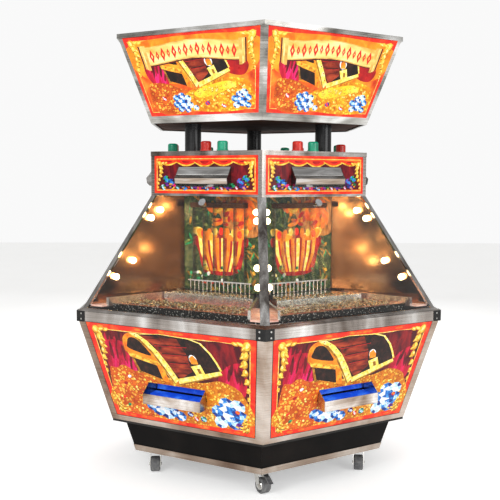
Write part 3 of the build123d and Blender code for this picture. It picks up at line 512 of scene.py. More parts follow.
class Print:
    """Flat printed sheet. Shapes are in shares, u from the left and v down; later ones lie on top."""

    def __init__(self, half_low, half_high, height, seed):
        self.half_low, self.half_high, self.height = half_low, half_high, height
        self.random = random.Random(seed)
        self.shapes = []
        self.outline("red", [(0, 0), (1, 0), (1, 1), (0, 1)])

    def at(self, u, v):
        half = self.half_high + (self.half_low - self.half_high) * v
        return Vector(((2 * u - 1) * half, self.height * (1 - v)))

    def outline(self, ink_name, points):
        self.shapes.append((ink_name, [self.at(u, v) for u, v in points]))

    def rounded(self, ink_name, points, steps=5):
        self.shapes.append((ink_name, smooth([self.at(u, v) for u, v in points], steps)))

    def blob(self, ink_name, centre, across, along, angle=0.0, sides=10):
        """Ellipse with its half sizes in metres, about a point given in shares."""
        middle = centre if isinstance(centre, Vector) else self.at(*centre)
        turn = Matrix.Rotation(angle, 2)
        steps = [2 * math.pi * i / sides for i in range(sides)]
        ring = [middle + turn @ Vector((across * math.cos(a), along * math.sin(a))) for a in steps]
        self.shapes.append((ink_name, ring))

    def field(self, ink_name, edge):
        """The area left inside an even border, its width in metres."""
        u, v = edge / (self.half_low + self.half_high), edge / self.height
        self.outline(ink_name, [(u, v), (1 - u, v), (1 - u, 1 - v), (u, 1 - v)])

    def jewel(self, centre, size, dark, middle, light):
        """Cut stone: facets round a bright table."""
        middle_point, sides = self.at(*centre), 8
        spin = self.random.uniform(0, 1)
        ring = [2 * math.pi * (i + spin) / sides for i in range(sides)]
        outer = [middle_point + Vector((size * math.cos(a), size * 0.86 * math.sin(a))) for a in ring]
        inner = [middle_point + (p - middle_point) * 0.5 for p in outer]
        for i in range(sides):
            k = (i + 1) % sides
            self.shapes.append(
                ((dark, middle, light, middle)[i % 4], [outer[i], outer[k], inner[k], inner[i]])
            )
        self.shapes.append((light, inner))
        self.shapes.append((middle, inner[:4]))

    def coins(self, area, count, size, rims, faces):
        """Loose coins scattered over a quadrilateral given by its four corners in shares."""
        a, b, c, d = (self.at(*p) for p in area)
        for _ in range(count):
            s, t = self.random.random(), self.random.random()
            middle = (a * (1 - s) + b * s) * (1 - t) + (d * (1 - s) + c * s) * t
            tall, turn = self.random.uniform(0.45, 0.95), self.random.uniform(-0.6, 0.6)
            self.blob(rims, middle, size, size * tall, turn, 9)
            lifted = middle + Vector((-0.08 * size, 0.14 * size))
            self.blob(self.random.choice(faces), lifted, size * 0.78, size * tall * 0.74, turn, 8)

    def scroll(self, mirrored, top, bottom, size):
        """Carved gold ornament running down one side from the corner."""
        def share(u, v):
            return (1 - u if mirrored else u, v)
        way = -1 if mirrored else 1
        span = bottom - top
        for step in range(7):
            part = step / 6
            scale = size * (1 - 0.62 * part)
            u, v = 0.052 + 0.014 * math.sin(5 * part), top + span * part
            self.blob("gold_dark", share(u, v + 0.01), scale * 0.95, scale * 1.15, way * 0.5)
            self.blob("gold", share(u, v), scale * 0.8, scale, way * (0.7 - part))
            self.blob(
                "gold_light", share(u - 0.004, v - 0.006), scale * 0.36, scale * 0.62, way * (0.7 - part), 8
            )
            leaf = share(u + 0.018 * (1 - part), v + 0.02)
            self.blob("gold", leaf, scale * 0.85, scale * 0.3, way * (-0.9 + part), 8)
            self.blob("gold_light", leaf, scale * 0.5, scale * 0.13, way * (-0.9 + part), 6)
        for reach in range(2):
            spot = share(0.085 + 0.03 * reach, top - 0.012)
            self.blob("gold", spot, size * (0.95 - 0.2 * reach), size * 0.4, way * 0.3, 8)
            self.blob("gold_light", spot, size * (0.55 - 0.12 * reach), size * 0.17, way * 0.3, 6)

    def chest(self, left, top, right, bottom):
        """Open chest seen from its end: arched lid end, long front band, dark lid lining and padlock."""
        def share(x, y):
            return (left + (right - left) * x, top + (bottom - top) * y)

        def shares(points):
            return [share(*p) for p in points]
        lining = [
            (0.16, 0.02), (0.4, -0.03), (0.69, 0.0), (0.8, 0.06), (0.89, 0.23), (0.95, 0.4), (0.99, 0.54),
            (0.56, 0.82)
        ]
        self.outline("gold_light", shares([(x + 0.018, y - 0.012) for x, y in lining]))
        self.outline("black", shares(lining))
        self.outline(
            "planks",
            shares([(0.2, 0.03), (0.58, 0.02), (0.66, 0.3), (0.7, 0.62), (0.56, 0.8), (0.44, 0.52),
            (0.33, 0.2)])
        )
        for height in (0.17, 0.33, 0.49):
            start = 0.27 + 0.4 * height
            self.outline(
                "black",
                shares([(start, height), (0.66, height - 0.03), (0.67, height - 0.012),
                (start, height + 0.02)])
            )
            self.outline(
                "red_deep",
                shares([(start, height + 0.02), (0.67, height - 0.012), (0.67, height),
                (start, height + 0.035)])
            )
        arch = [
            (0.0, 0.19), (0.03, 0.06), (0.1, 0.0), (0.18, 0.03), (0.27, 0.16), (0.36, 0.36), (0.36, 0.53),
            (0.2, 0.47), (0.02, 0.39)
        ]
        self.rounded("gold_dark", shares([(x - 0.006, y + 0.012) for x, y in arch]), 4)
        self.rounded("orange", shares(arch), 4)
        self.rounded(
            "black",
            shares([(0.045, 0.2), (0.075, 0.1), (0.14, 0.09), (0.2, 0.18), (0.25, 0.3), (0.27, 0.41),
            (0.05, 0.31)]),
            4
        )
        self.outline("gold_dark", shares([(0.05, 0.45), (0.1, 0.46), (0.15, 0.76), (0.1, 0.78)]))
        self.outline("black", shares([(0.08, 0.5), (0.32, 0.6), (0.36, 0.86), (0.12, 0.74)]))
        self.outline("gold", shares([(0.02, 0.38), (0.36, 0.52), (0.37, 0.61), (0.04, 0.47)]))
        self.outline("orange", shares([(0.32, 0.56), (0.39, 0.6), (0.43, 0.9), (0.36, 0.88)]))
        crest = [
            (0.09, 0.0), (0.17, 0.0), (0.27, 0.12), (0.37, 0.32), (0.46, 0.57), (0.54, 0.82), (0.49, 0.92)
        ]
        inner = [(0.42, 0.74), (0.35, 0.48), (0.29, 0.31), (0.2, 0.13), (0.13, 0.06)]
        self.outline("gold_light", shares(crest + inner))
        self.outline(
            "gold_dark",
            shares([(0.13, 0.05), (0.2, 0.11), (0.31, 0.33), (0.42, 0.66), (0.5, 0.91), (0.485, 0.91),
            (0.4, 0.66), (0.29, 0.34)])
        )
        for x, y in (
            (0.15, 0.03), (0.22, 0.09), (0.29, 0.2), (0.35, 0.33), (0.4, 0.46), (0.45, 0.6), (0.49, 0.74)
        ):
            self.blob("red_deep", share(x, y), 0.0032, 0.0032, 0, 6)
        for x, y in (
            (0.02, 0.26), (0.02, 0.14), (0.07, 0.06), (0.1, 0.45), (0.18, 0.48), (0.26, 0.52), (0.33, 0.54),
            (0.37, 0.7), (0.39, 0.8)
        ):
            self.blob("red", share(x, y), 0.0032, 0.0032, 0, 6)
        self.outline("gold_light", shares([(0.53, 0.8), (0.99, 0.54), (1.01, 0.6), (0.54, 0.9)]))
        self.outline("gold_dark", shares([(0.54, 0.9), (1.01, 0.6), (1.01, 0.62), (0.54, 0.93)]))
        ring = share(0.72, 0.38)
        self.blob("white", ring, 0.02, 0.024, 0.5, 12)
        self.blob("black", ring, 0.014, 0.018, 0.5, 12)
        self.outline("orange", shares([(0.68, 0.36), (0.72, 0.3), (0.76, 0.38), (0.77, 0.46), (0.7, 0.47)]))
        self.outline("gold_light", shares([(0.69, 0.52), (0.79, 0.46), (0.84, 0.66), (0.75, 0.72)]))
        self.outline("gold_dark", shares([(0.75, 0.55), (0.78, 0.54), (0.8, 0.63), (0.77, 0.64)]))

    def mesh(self, name, window=None):
        """One flat sheet cut along every outline, each part in the ink that lies on top there."""
        shapes = self.shapes + ([(None, window)] if window else [])
        points, faces = [], []
        for _, outline in shapes:
            faces.append(list(range(len(points), len(points) + len(outline))))
            area = sum(a.x * b.y - b.x * a.y for a, b in zip(outline, outline[1:] + outline[:1]))
            points += [Vector(p) * 1000 for p in (outline if area > 0 else outline[::-1])]
        spots, _, cut, _, _, owners = delaunay_2d_cdt(points, [], faces, 1, 1e-4)
        mesh = bpy.data.meshes.new(name)
        kept, tints = [], []
        for face, owner in zip(cut, owners):
            if not owner:
                continue
            top = max(owner)
            middle = sum((spots[i] for i in face), Vector((0, 0))) / len(face) / 1000
            v = 1 - middle.y / self.height
            half = self.half_high + (self.half_low - self.half_high) * v
            if shapes[top][0] is None or not 0 < v < 1 or abs(middle.x) > half:
                continue
            kept.append(face)
            tints.append(INK_NAMES.index(shapes[top][0]))
        used = sorted(set(tints))
        mesh.from_pydata([(p.x / 1000, p.y / 1000, 0) for p in spots], [], kept)
        for tint in used:
            mesh.materials.append(INKS[INK_NAMES[tint]])
        mesh.polygons.foreach_set("material_index", [used.index(t) for t in tints])
        bm = bmesh.new()
        bm.from_mesh(mesh)
        bmesh.ops.delete(bm, geom=[v for v in bm.verts if not v.link_faces], context="VERTS")
        bmesh.ops.recalc_face_normals(bm, faces=bm.faces)
        if bm.faces and sum(f.normal.z for f in bm.faces) < 0:
            bmesh.ops.reverse_faces(bm, faces=bm.faces)
        bm.to_mesh(mesh)
        bm.free()
        return mesh


def wall_frame(node, turn):
    """Outer face of one wall: its plane from the middle of the lower edge, half widths and height."""
    back = turned(-turn)
    points = [back @ v.co for v in nodes[node].data.vertices]
    points = [p for p in points if p.x > 0 and abs(p.y) < p.x * math.tan(math.radians(30)) + 0.001]
    low, high = min(p.z for p in points), max(p.z for p in points)
    feet = [p for p in points if p.z < low + 1e-4]
    heads = [p for p in points if p.z > high - 1e-4]
    foot, head = max(p.x for p in feet), max(p.x for p in heads)
    up = Vector((head - foot, 0, high - low))
    height = up.length
    up.normalize()
    right = Vector((0, 1, 0))
    axes = Matrix((right, up, right.cross(up))).transposed().to_4x4()
    axes.translation = (foot, 0, low)
    half_low, half_high = max(abs(p.y) for p in feet), max(abs(p.y) for p in heads)
    return turned(turn) @ axes, half_low, half_high, height


FILM = 0.0003
BORDER = 0.026
GEMS = (("navy", "blue", "sky"), ("navy", "blue", "white"), ("navy", "sky", "white"))


def treasure(sheet, stones, size):
    for index, (u, v, scale) in enumerate(stones):
        sheet.jewel((u, v), size * scale, *GEMS[index % 3])


def lower_art(half_low, half_high, height, low_z, high_z):
    sheet = Print(half_low, half_high, height, 11)
    for index in range(16):
        u = sheet.random.uniform(0.05, 0.95)
        sheet.blob("ember", (u, 0.025 if index % 2 else 0.975), 0.018, 0.006)
    sheet.field("gold_line", BORDER)
    sheet.field("maroon", BORDER + 0.004)
    sheet.rounded("dusk", [
        (0.06, 0.08), (0.2, 0.07), (0.27, 0.1), (0.26, 0.3), (0.24, 0.52), (0.1, 0.52), (0.06, 0.3)
    ])
    sheet.rounded("dusk", [(0.72, 0.08), (0.9, 0.07), (0.94, 0.1), (0.94, 0.5), (0.84, 0.52), (0.78, 0.36)])
    sheet.rounded("crimson", [
        (0.07, 0.24), (0.13, 0.16), (0.24, 0.2), (0.26, 0.4), (0.22, 0.54), (0.08, 0.54)
    ])
    sheet.rounded("crimson", [
        (0.8, 0.36), (0.87, 0.26), (0.94, 0.28), (0.94, 0.58), (0.84, 0.54), (0.78, 0.46)
    ])
    draw = sheet.random
    for ink_name, count, left, right, top, bottom in (
        ("crimson", 12, 0.08, 0.25, 0.14, 0.34), ("rose", 13, 0.09, 0.25, 0.3, 0.46),
        ("magenta", 14, 0.11, 0.25, 0.38, 0.52),
        ("dusk", 7, 0.08, 0.26, 0.18, 0.4), ("rose", 8, 0.82, 0.93, 0.36, 0.5),
        ("dusk", 6, 0.8, 0.94, 0.2, 0.4),
    ):
        for _ in range(count):
            spot = (draw.uniform(left, right), draw.uniform(top, bottom))
            sheet.blob(
                ink_name, spot, draw.uniform(0.004, 0.009), draw.uniform(0.025, 0.05),
                draw.uniform(-0.25, 0.1), 10
            )
    base = [
        (0.07, 0.6), (0.13, 0.52), (0.3, 0.46), (0.5, 0.5), (0.68, 0.5), (0.8, 0.46), (0.93, 0.58),
        (0.94, 0.92), (0.06, 0.92)
    ]
    sheet.rounded("coins", base)
    sheet.chest(0.21, 0.065, 0.8, 0.6)
    heap = [
        (0.06, 0.5), (0.12, 0.46), (0.17, 0.42), (0.22, 0.46), (0.3, 0.5), (0.38, 0.56), (0.42, 0.66),
        (0.44, 0.92), (0.07, 0.92)
    ]
    sheet.rounded("coins_red", heap)
    hill = [
        (0.42, 0.64), (0.56, 0.6), (0.66, 0.52), (0.78, 0.49), (0.86, 0.53), (0.93, 0.6), (0.94, 0.92),
        (0.4, 0.92)
    ]
    sheet.rounded("coins", hill)
    gold = ("gold", "gold_light", "gold_light")
    sheet.coins(
        [(0.08, 0.5), (0.34, 0.54), (0.42, 0.9), (0.09, 0.9)], 46, 0.0088, "gold_dark",
        ("gold", "gold_light", "orange")
    )
    sheet.coins([(0.46, 0.66), (0.88, 0.56), (0.93, 0.86), (0.6, 0.88)], 58, 0.0088, "gold_dark", gold)
    for u, v, tone in (
        (0.15, 0.62, "red_deep"), (0.11, 0.78, "red"), (0.19, 0.54, "white"), (0.13, 0.86, "green"),
        (0.3, 0.58, "orange")
    ):
        sheet.blob(tone, (u, v), 0.011, 0.008, 0.4, 8)
    treasure(
        sheet, [(0.3, 0.83, 0.9), (0.35, 0.86, 1.2), (0.41, 0.87, 1.4), (0.46, 0.87, 0.9), (0.5, 0.9, 0.9)],
        0.034
    )
    right_stones = [
        (0.77, 0.78, 1), (0.82, 0.69, 1), (0.89, 0.7, 1), (0.91, 0.8, 0.9), (0.83, 0.81, 1.5),
        (0.78, 0.89, 0.9),
        (0.87, 0.88, 1),
    ]
    treasure(sheet, right_stones, 0.04)
    for u, v, size, tones in (
        (0.9, 0.9, 0.018, ("black", "purple", "purple")), (0.57, 0.86, 0.016, ("black", "purple", "sky")),
        (0.89, 0.76, 0.012, ("red_deep", "red", "orange")), (0.66, 0.89, 0.018, ("navy", "green", "sky")),
        (0.61, 0.9, 0.014, ("red_deep", "red", "white")),
        (0.7, 0.84, 0.013, ("gold_dark", "orange", "cream")),
    ):
        sheet.jewel((u, v), size, *tones)
    for u, v in ((0.39, 0.85), (0.81, 0.8), (0.86, 0.86), (0.83, 0.68), (0.46, 0.86)):
        for turn in (0.3, 1.87):
            sheet.blob("white", (u, v), 0.016, 0.0022, turn, 6)
    for mirrored, top, bottom, size in (
        (False, 0.07, 0.5, 0.024), (True, 0.07, 0.6, 0.024), (False, 0.93, 0.72, 0.013),
        (True, 0.93, 0.72, 0.013),
    ):
        sheet.scroll(mirrored, top, bottom, size)
    scale = height / (high_z - low_z)
    half, bottom, top = TRAY_HALF, (SLOT_LOW - low_z) * scale, (SLOT_HIGH - low_z) * scale
    window = [Vector((-half, bottom)), Vector((half, bottom)), Vector((half, top)), Vector((-half, top))]
    return sheet.mesh("print_lower", window)


def topper_art(half_low, half_high, height):
    sheet = Print(half_low, half_high, height, 23)
    sheet.field("gold_line", 0.018)
    sheet.field("ember", 0.021)
    sheet.rounded("orange", [(0.05, 0.08), (0.95, 0.08), (0.94, 0.5), (0.5, 0.62), (0.07, 0.5)])
    sheet.rounded("crimson", [
        (0.1, 0.36), (0.22, 0.33), (0.27, 0.42), (0.26, 0.6), (0.16, 0.62), (0.1, 0.52)
    ])
    for ink_name, count, left, right, top, bottom in (
        ("rose", 10, 0.13, 0.25, 0.38, 0.54), ("magenta", 9, 0.16, 0.25, 0.42, 0.54),
        ("dusk", 5, 0.13, 0.25, 0.38, 0.52),
    ):
        for _ in range(count):
            spot = (sheet.random.uniform(left, right), sheet.random.uniform(top, bottom))
            sheet.blob(
                ink_name, spot, 0.006, sheet.random.uniform(0.018, 0.034), sheet.random.uniform(-0.25, 0.1),
                10
            )
    sheet.rounded("red_deep", [(0.76, 0.36), (0.86, 0.33), (0.92, 0.42), (0.88, 0.54), (0.76, 0.5)])
    sheet.chest(0.21, 0.13, 0.77, 0.72)
    sheet.rounded("coins_red", [
        (0.08, 0.62), (0.16, 0.58), (0.25, 0.6), (0.34, 0.66), (0.42, 0.72), (0.42, 0.95), (0.09, 0.95)
    ])
    sheet.rounded("coins_lit", [
        (0.4, 0.72), (0.52, 0.66), (0.66, 0.58), (0.78, 0.56), (0.93, 0.64), (0.93, 0.94), (0.4, 0.94)
    ])
    sheet.rounded("yellow", [
        (0.46, 0.72), (0.6, 0.64), (0.74, 0.6), (0.82, 0.64), (0.76, 0.7), (0.62, 0.76), (0.5, 0.79)
    ])
    sheet.coins(
        [(0.42, 0.72), (0.84, 0.58), (0.9, 0.74), (0.46, 0.86)], 40, 0.0075, "gold_dark",
        ("gold_light", "yellow")
    )
    sheet.coins(
        [(0.44, 0.74), (0.9, 0.66), (0.92, 0.92), (0.5, 0.92)], 44, 0.0075, "orange",
        ("gold_light", "yellow")
    )
    sheet.coins(
        [(0.1, 0.64), (0.32, 0.68), (0.4, 0.92), (0.1, 0.92)], 34, 0.0075, "red_deep", ("orange", "gold")
    )
    left_stones = [
        (0.29, 0.78, 1), (0.34, 0.76, 1.1), (0.39, 0.79, 1), (0.28, 0.86, 1), (0.34, 0.86, 1.5),
        (0.4, 0.87, 1),
        (0.31, 0.92, 0.9), (0.37, 0.93, 0.9), (0.45, 0.91, 0.8),
    ]
    right_stones = [
        (0.8, 0.82, 1), (0.84, 0.77, 1), (0.88, 0.75, 1.1), (0.91, 0.81, 1), (0.86, 0.86, 1.4),
        (0.81, 0.9, 0.9),
        (0.91, 0.9, 0.9),
    ]
    treasure(sheet, left_stones, 0.019)
    treasure(sheet, right_stones, 0.019)
    for u, v, tones in (
        (0.56, 0.86, ("navy", "purple", "red")), (0.7, 0.9, ("gold_dark", "red", "sky")),
        (0.18, 0.78, ("red_deep", "red", "white"))
    ):
        sheet.jewel((u, v), 0.013, *tones)
    top, bottom, count = [], [], 12
    for i in range(count + 1):
        u = 0.12 + 0.76 * i / count
        sag = 0.03 * math.cos(2 * math.pi * i / count)
        top.append((u, 0.12 + sag))
        bottom.append((u, 0.32 + sag))
    sheet.outline("maroon", [(u + 0.012, v + 0.025) for u, v in top + bottom[::-1]])
    sheet.outline("cream_dark", [(u, v - 0.012) for u, v in top] + [(u, v + 0.012) for u, v in bottom[::-1]])
    sheet.outline("cream", top + bottom[::-1])
    for way, u in ((1, 0.1), (-1, 0.9)):
        tones = ("maroon", "cream_dark", "cream", "cream_dark")
        for k, tone in enumerate(tones):
            a, b = u + way * (0.011 * k - 0.006), u + way * (0.011 * (k + 1) + 0.006)
            sheet.outline(tone, [(a, 0.115), (b, 0.115), (b, 0.39 + 0.01 * k), (a, 0.39 + 0.01 * k)])
    for i in range(15):
        u = 0.185 + 0.63 * i / 14
        v = 0.225 + 0.03 * math.cos(2 * math.pi * (u - 0.12) / 0.76)
        wide, tall = (0.015, 0.072) if i % 2 == 0 else (0.009, 0.046)
        sheet.outline("red_deep", [
            (u, v - tall - 0.012), (u + wide + 0.004, v), (u, v + tall + 0.012), (u - wide - 0.004, v)
        ])
        sheet.outline("red", [(u, v - tall), (u + wide, v), (u, v + tall), (u - wide, v)])
        sheet.outline("cream", [
            (u, v - tall * 0.4), (u + wide * 0.4, v), (u, v + tall * 0.4), (u - wide * 0.4, v)
        ])
    for mirrored in (False, True):
        sheet.scroll(mirrored, 0.08, 0.46, 0.02)
    return sheet.mesh("print_topper")


def upper_art(half_low, half_high, height):
    sheet = Print(half_low, half_high, height, 31)
    sheet.field("gold_line", 0.013)
    sheet.field("ember", 0.016)
    sheet.field("maroon", 0.021)
    sheet.rounded("dusk", [(0.08, 0.2), (0.2, 0.16), (0.22, 0.6), (0.12, 0.7), (0.08, 0.5)])
    sheet.rounded("dusk", [(0.92, 0.2), (0.8, 0.16), (0.78, 0.6), (0.88, 0.7), (0.92, 0.5)])
    for i in range(5):
        u = 0.14 + 0.18 * i
        drop = 0.24 - 0.02 * abs(i - 2)
        sheet.rounded("gold", [
            (u - 0.1, 0.13), (u + 0.1, 0.13), (u + 0.05, drop + 0.03), (u, drop + 0.06),
            (u - 0.05, drop + 0.03)
        ])
        sheet.rounded("red", [
            (u - 0.1, 0.12), (u + 0.1, 0.12), (u + 0.05, drop - 0.01), (u, drop + 0.02),
            (u - 0.05, drop - 0.01)
        ])
        sheet.rounded("red_deep", [
            (u - 0.04, 0.14), (u + 0.04, 0.14), (u + 0.02, drop - 0.03), (u - 0.02, drop - 0.03)
        ])
    gems = [
        "green", "purple", "navy", "magenta", "green", "purple", "blue", "red", "green", "purple",
        "magenta", "navy"
    ]
    for i, tone in enumerate(gems + gems[::-1]):
        u = 0.09 + 0.82 * i / (2 * len(gems) - 1)
        rise = 0.12 * abs(2 * u - 1) * (i % 2)
        sheet.jewel((u, 0.84 - rise), 0.017 - 0.004 * (i % 3), "black", tone, "sky" if i % 4 == 0 else tone)
    for u, v, tone in (
        (0.12, 0.62, "green"), (0.17, 0.7, "navy"), (0.84, 0.68, "purple"), (0.89, 0.6, "green")
    ):
        sheet.jewel((u, v), 0.02, "black", tone, "blue")
    sheet.coins(
        [(0.08, 0.72), (0.92, 0.72), (0.92, 0.9), (0.08, 0.9)], 26, 0.006, "gold_dark", ("gold", "orange")
    )
    for mirrored in (False, True):
        sheet.scroll(mirrored, 0.2, 0.84, 0.013)
    return sheet.mesh("print_upper")


def back_art(half_low, half_high, height):
    sheet = Print(half_low, half_high, height, 47)
    sheet.outline("leaf_dark", [(0, 0), (1, 0), (1, 1), (0, 1)])
    sheet.rounded("bark", [(0.45, -0.02), (1.02, -0.02), (1.02, 0.36), (0.8, 0.42), (0.55, 0.3)])
    sheet.rounded("ember", [(0.6, 0.06), (0.9, 0.05), (0.94, 0.3), (0.74, 0.36), (0.6, 0.2)])
    draw = sheet.random
    for _ in range(120):
        u, v = draw.random(), draw.random()
        warm = u > 0.45 and v < 0.4
        tone = draw.choice(
            ("bark", "orange", "gold_dark") if warm else ("leaf", "leaf", "leaf_dark", "green", "gold_dark")
        )
        long, slim = draw.uniform(0.012, 0.034), draw.uniform(0.003, 0.008)
        sheet.blob(tone, (u, v), long, slim, draw.uniform(0.3, 2.8), 7)
    for _ in range(26):
        u, v = 0.3 + 0.5 * draw.random(), 0.07 + 0.3 * draw.random()
        tone = draw.choice(("ember", "bark", "orange", "red_deep", "gold"))
        sheet.blob(
            tone, (u, v), draw.uniform(0.014, 0.034), draw.uniform(0.006, 0.012), draw.uniform(0, 3), 8
        )
    rim, foot, flutes = 0.44, 0.79, 8
    sheet.rounded("red_deep", [
        (0.16, rim - 0.01), (0.5, rim - 0.05), (0.84, rim - 0.01), (0.8, 0.6), (0.7, foot + 0.02),
        (0.3, foot + 0.02), (0.2, 0.6)
    ])
    for index in range(flutes):
        left, right = index / flutes, (index + 0.62) / flutes
        top, middle, low = (0.19, 0.62), (0.22, 0.56), (0.31, 0.38)
        edges = [
            (top[0] + top[1] * left, rim), (middle[0] + middle[1] * left, 0.6),
            (low[0] + low[1] * left, foot)
        ]
        edges += [
            (low[0] + low[1] * right, foot), (middle[0] + middle[1] * right, 0.6),
            (top[0] + top[1] * right, rim)
        ]
        sheet.outline("orange" if index % 2 else "gold_light", edges)
    for way in (0, 1):
        horn = [(0.2, 0.44), (0.14, 0.36), (0.2, 0.33), (0.32, 0.38), (0.42, 0.4), (0.34, 0.45)]
        sheet.rounded("gold_light", [(1 - u if way else u, v) for u, v in horn])
        sheet.rounded("orange", [(1 - (u + 0.03) if way else u + 0.03, v + 0.015) for u, v in horn])
    for index in range(7):
        u = 0.26 + 0.48 * index / 6
        sheet.blob(
            ("red", "orange", "gold_light")[index % 3], (u, 0.4 - 0.03 * math.sin(math.pi * index / 6)),
            0.014, 0.02, 0, 9
        )
    for _ in range(24):
        u, v = draw.uniform(0.06, 0.94), draw.uniform(0.74, 0.95)
        tone = draw.choice(("gold_light", "green", "red", "gold", "leaf", "white"))
        sheet.blob(tone, (u, v), draw.uniform(0.006, 0.014), draw.uniform(0.005, 0.01), draw.uniform(0, 3), 7)
    return sheet.mesh("print_back")


# the slot in each lower door lies behind its tray's lip
TRAY_HALF, SLOT_LOW, SLOT_HIGH = 0.156, 0.470, 0.528

prints = {}
for number, turn in enumerate(STATION_TURNS, 1):
    for kind, node, body in (
        ("lower", f"lower_door_{number}", f"lower_door_{number}"),
        ("topper", "topper_panels", "cabinet"),
        ("upper", "upper_panels", "cabinet"),
        ("back", "backboards", "cabinet"),
    ):
        place, half_low, half_high, height = wall_frame(node, turn)
        if kind not in prints:
            box_low, box_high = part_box(node)
            extra = (box_low.z, box_high.z) if kind == "lower" else ()
            maker = {"lower": lower_art, "topper": topper_art, "upper": upper_art, "back": back_art}[kind]
            prints[kind] = maker(half_low, half_high, height, *extra)
        lift = Matrix.Translation((0, 0, FILM))
        piece(f"{kind}_print_{number}", prints[kind], body, place @ lift)

# ---------------------------------------------------------------- dressed CAD nodes
for node, material in {
    "base_frame": BLACK_BOARD, "plinth_skirt": SKIRT, "steel_trims": STEEL, "deck_rail": DECK,
    "inner_frame": PAINT, "backboards": BLACK_BOARD, "mirror_partitions": BRONZE, "corner_posts": POST,
    "upper_panels": EDGE, "beacons_red": RED_LENS,
    "beacons_green": GREEN_LENS, "support_pillars": PILLAR, "topper_panels": EDGE,
    "topper_floor": WOOD, "gearmotors": MOTOR, "brake_pedal": PEDAL,
}.items():
    wear(node, material)


# a door's panel is taller than this, and its tray's back has a painted blue glow nearer the centre than this
PANEL_TALLER, TRAY_PAINTED_GLOW_WITHIN = 0.3, 0.779


def door_part(size, low, high, face):
    """Panel, steel tray, and the tray's blue back with a painted glow where it runs into the slot."""
    if size.z > PANEL_TALLER:
        return 0
    return 2 if ((low + high) / 2).xy.length < TRAY_PAINTED_GLOW_WITHIN else 1


for number in range(1, 7):
    wear(f"caster_fork_{number}", ZINC)
    wear(f"pusher_{number}", SHELF)
    wear(f"crank_{number}", CRANK)
    dress(
        f"lower_door_{number}", f"lower_door_look_{number}", [EDGE, TRAY, TRAY_BLUE], door_part,
        f"lower_door_{number}"
    )


SCREW_PROUD = 0.0016


def outward(point):
    """How far out a point lies, square to the nearest side."""
    return max(point.x * math.cos(t) + point.y * math.sin(t) for t in STATION_TURNS)


def screw_head(size, low, high, face):
    """The heads stand proud of the bracket's two faces."""
    middle = face.calc_center_median()
    return int(outward(middle) > BRACKET_FACE + SCREW_PROUD / 2)


BRACKET_FACE = max(outward(v.co) for v in nodes["deck_brackets"].data.vertices) - SCREW_PROUD
dress("deck_brackets", "deck_brackets_look", [BRACKET, ZINC], screw_head)


def chute_part(size, low, high, face):
    """Steel sheets, blue with a painted glow where they reach the tray."""
    return int(high.z < TRAY_PAINTED_GLOW_TOP)


def frame_part(size, low, high, face):
    """Metal edging and the black board that closes the box on top."""
    return int(size.x > LID_WIDER and size.z < LID_THINNER)


def cup_part(size, low, high, face):
    """Bright hood, dark trough behind it in painted shade, front banded with painted reflection, and its
    lower bend.
    """
    if low.z > CUP_TOP - HOOD_DROP:
        return 0
    if size.z > CUP_BACK_TALLER:
        return 1
    return 2 if size.z > BEND_TALLER else 0


TRAY_PAINTED_GLOW_TOP = 0.6
LID_WIDER, LID_THINNER = 0.9, 0.02
CUP_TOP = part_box("coin_cups")[1].z
HOOD_DROP, CUP_BACK_TALLER, BEND_TALLER = 0.045, 0.09, 0.02
dress("coin_chutes", "coin_chutes_look", [TRAY, TRAY_BLUE], chute_part)
for node, metal, slot in (
    ("upper_frame", DECK, "deck_metal"), ("topper_frame", TOPPER_METAL, "topper_metal")
):
    dress(node, f"{node}_look", [metal, BLACK_BOARD], frame_part)
dress("coin_cups", "coin_cups_look", [CHROME, CHROME_SHADE, CHROME_BAND], cup_part)

LOCK_RADIUS = 0.0187
for number, turn in enumerate(STATION_TURNS, 1):
    node = f"glass_door_{number}"
    back = turned(-turn)
    points = [back @ v.co for v in nodes[node].data.vertices]
    heights = sorted(p.z for p in points if abs(p.y) < LOCK_RADIUS)
    lock_z = heights[len(heights) // 2]

    def is_lock(size, low, high, face, back=back, lock_z=lock_z):
        local = [back @ v.co for v in face.verts]
        return int(all(math.hypot(p.y, p.z - lock_z) < 1.4 * LOCK_RADIUS for p in local))
    dress(node, f"glass_door_look_{number}", [PANE, LOCK], is_lock, node)

FIN_TALLER, VALANCE_ABOVE = 0.2, 1.2
RAIL_TALLER, NOSE_TALLER, BED_THICKER = 0.035, 0.025, 0.01
BULB_TALLER = 0.028
HUB_RADIUS = 0.0215


def guide_part(size, low, high, face):
    """Clear fins, the dark valance high above them, and the row of pins."""
    if size.z > FIN_TALLER:
        return 0
    return 2 if low.z > VALANCE_ABOVE else 1


def bed_part(size, low, high, face):
    """Side rails, front nose, the bed itself and the thin ledges, by their heights."""
    if size.z > RAIL_TALLER:
        return 2
    if size.z > NOSE_TALLER:
        return 1
    return 0 if size.z > BED_THICKER else 3


def lamp_part(size, low, high, face):
    """Glass bulb, or the flatter socket under it."""
    return 0 if size.z > BULB_TALLER else 1


dress("coin_guides", "coin_guides_look", [ACRYLIC, RAILS, WOOD], guide_part)
dress("playfield_beds", "playfield_beds_look", [BED, NOSE, RAILS, LEDGE], bed_part)
dress("lamps", "lamps_look", [BULB, SOCKET], lamp_part)
for number in range(1, 7):
    node = f"caster_wheel_{number}"
    low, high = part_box(node)
    hub = (low + high) / 2
    points = [v.co for v in nodes[node].data.vertices]
    headings = [Vector((math.cos(math.radians(k)), math.sin(math.radians(k)), 0)) for k in range(0, 180, 2)]
    axle = min(headings, key=lambda h: max(p.dot(h) for p in points) - min(p.dot(h) for p in points))

    def is_hub(size, low, high, face, hub=hub, axle=axle):
        reach = face.calc_center_median() - hub
        return int((reach - axle * reach.dot(axle)).length < HUB_RADIUS)
    dress(node, f"caster_wheel_look_{number}", [RUBBER, ZINC], is_hub, node)

# ---------------------------------------------------------------- coins
COIN_RADIUS, COIN_THICK = 0.0122, 0.0019
COIN_REST, COIN_LEAN = 0.0002, 0.09


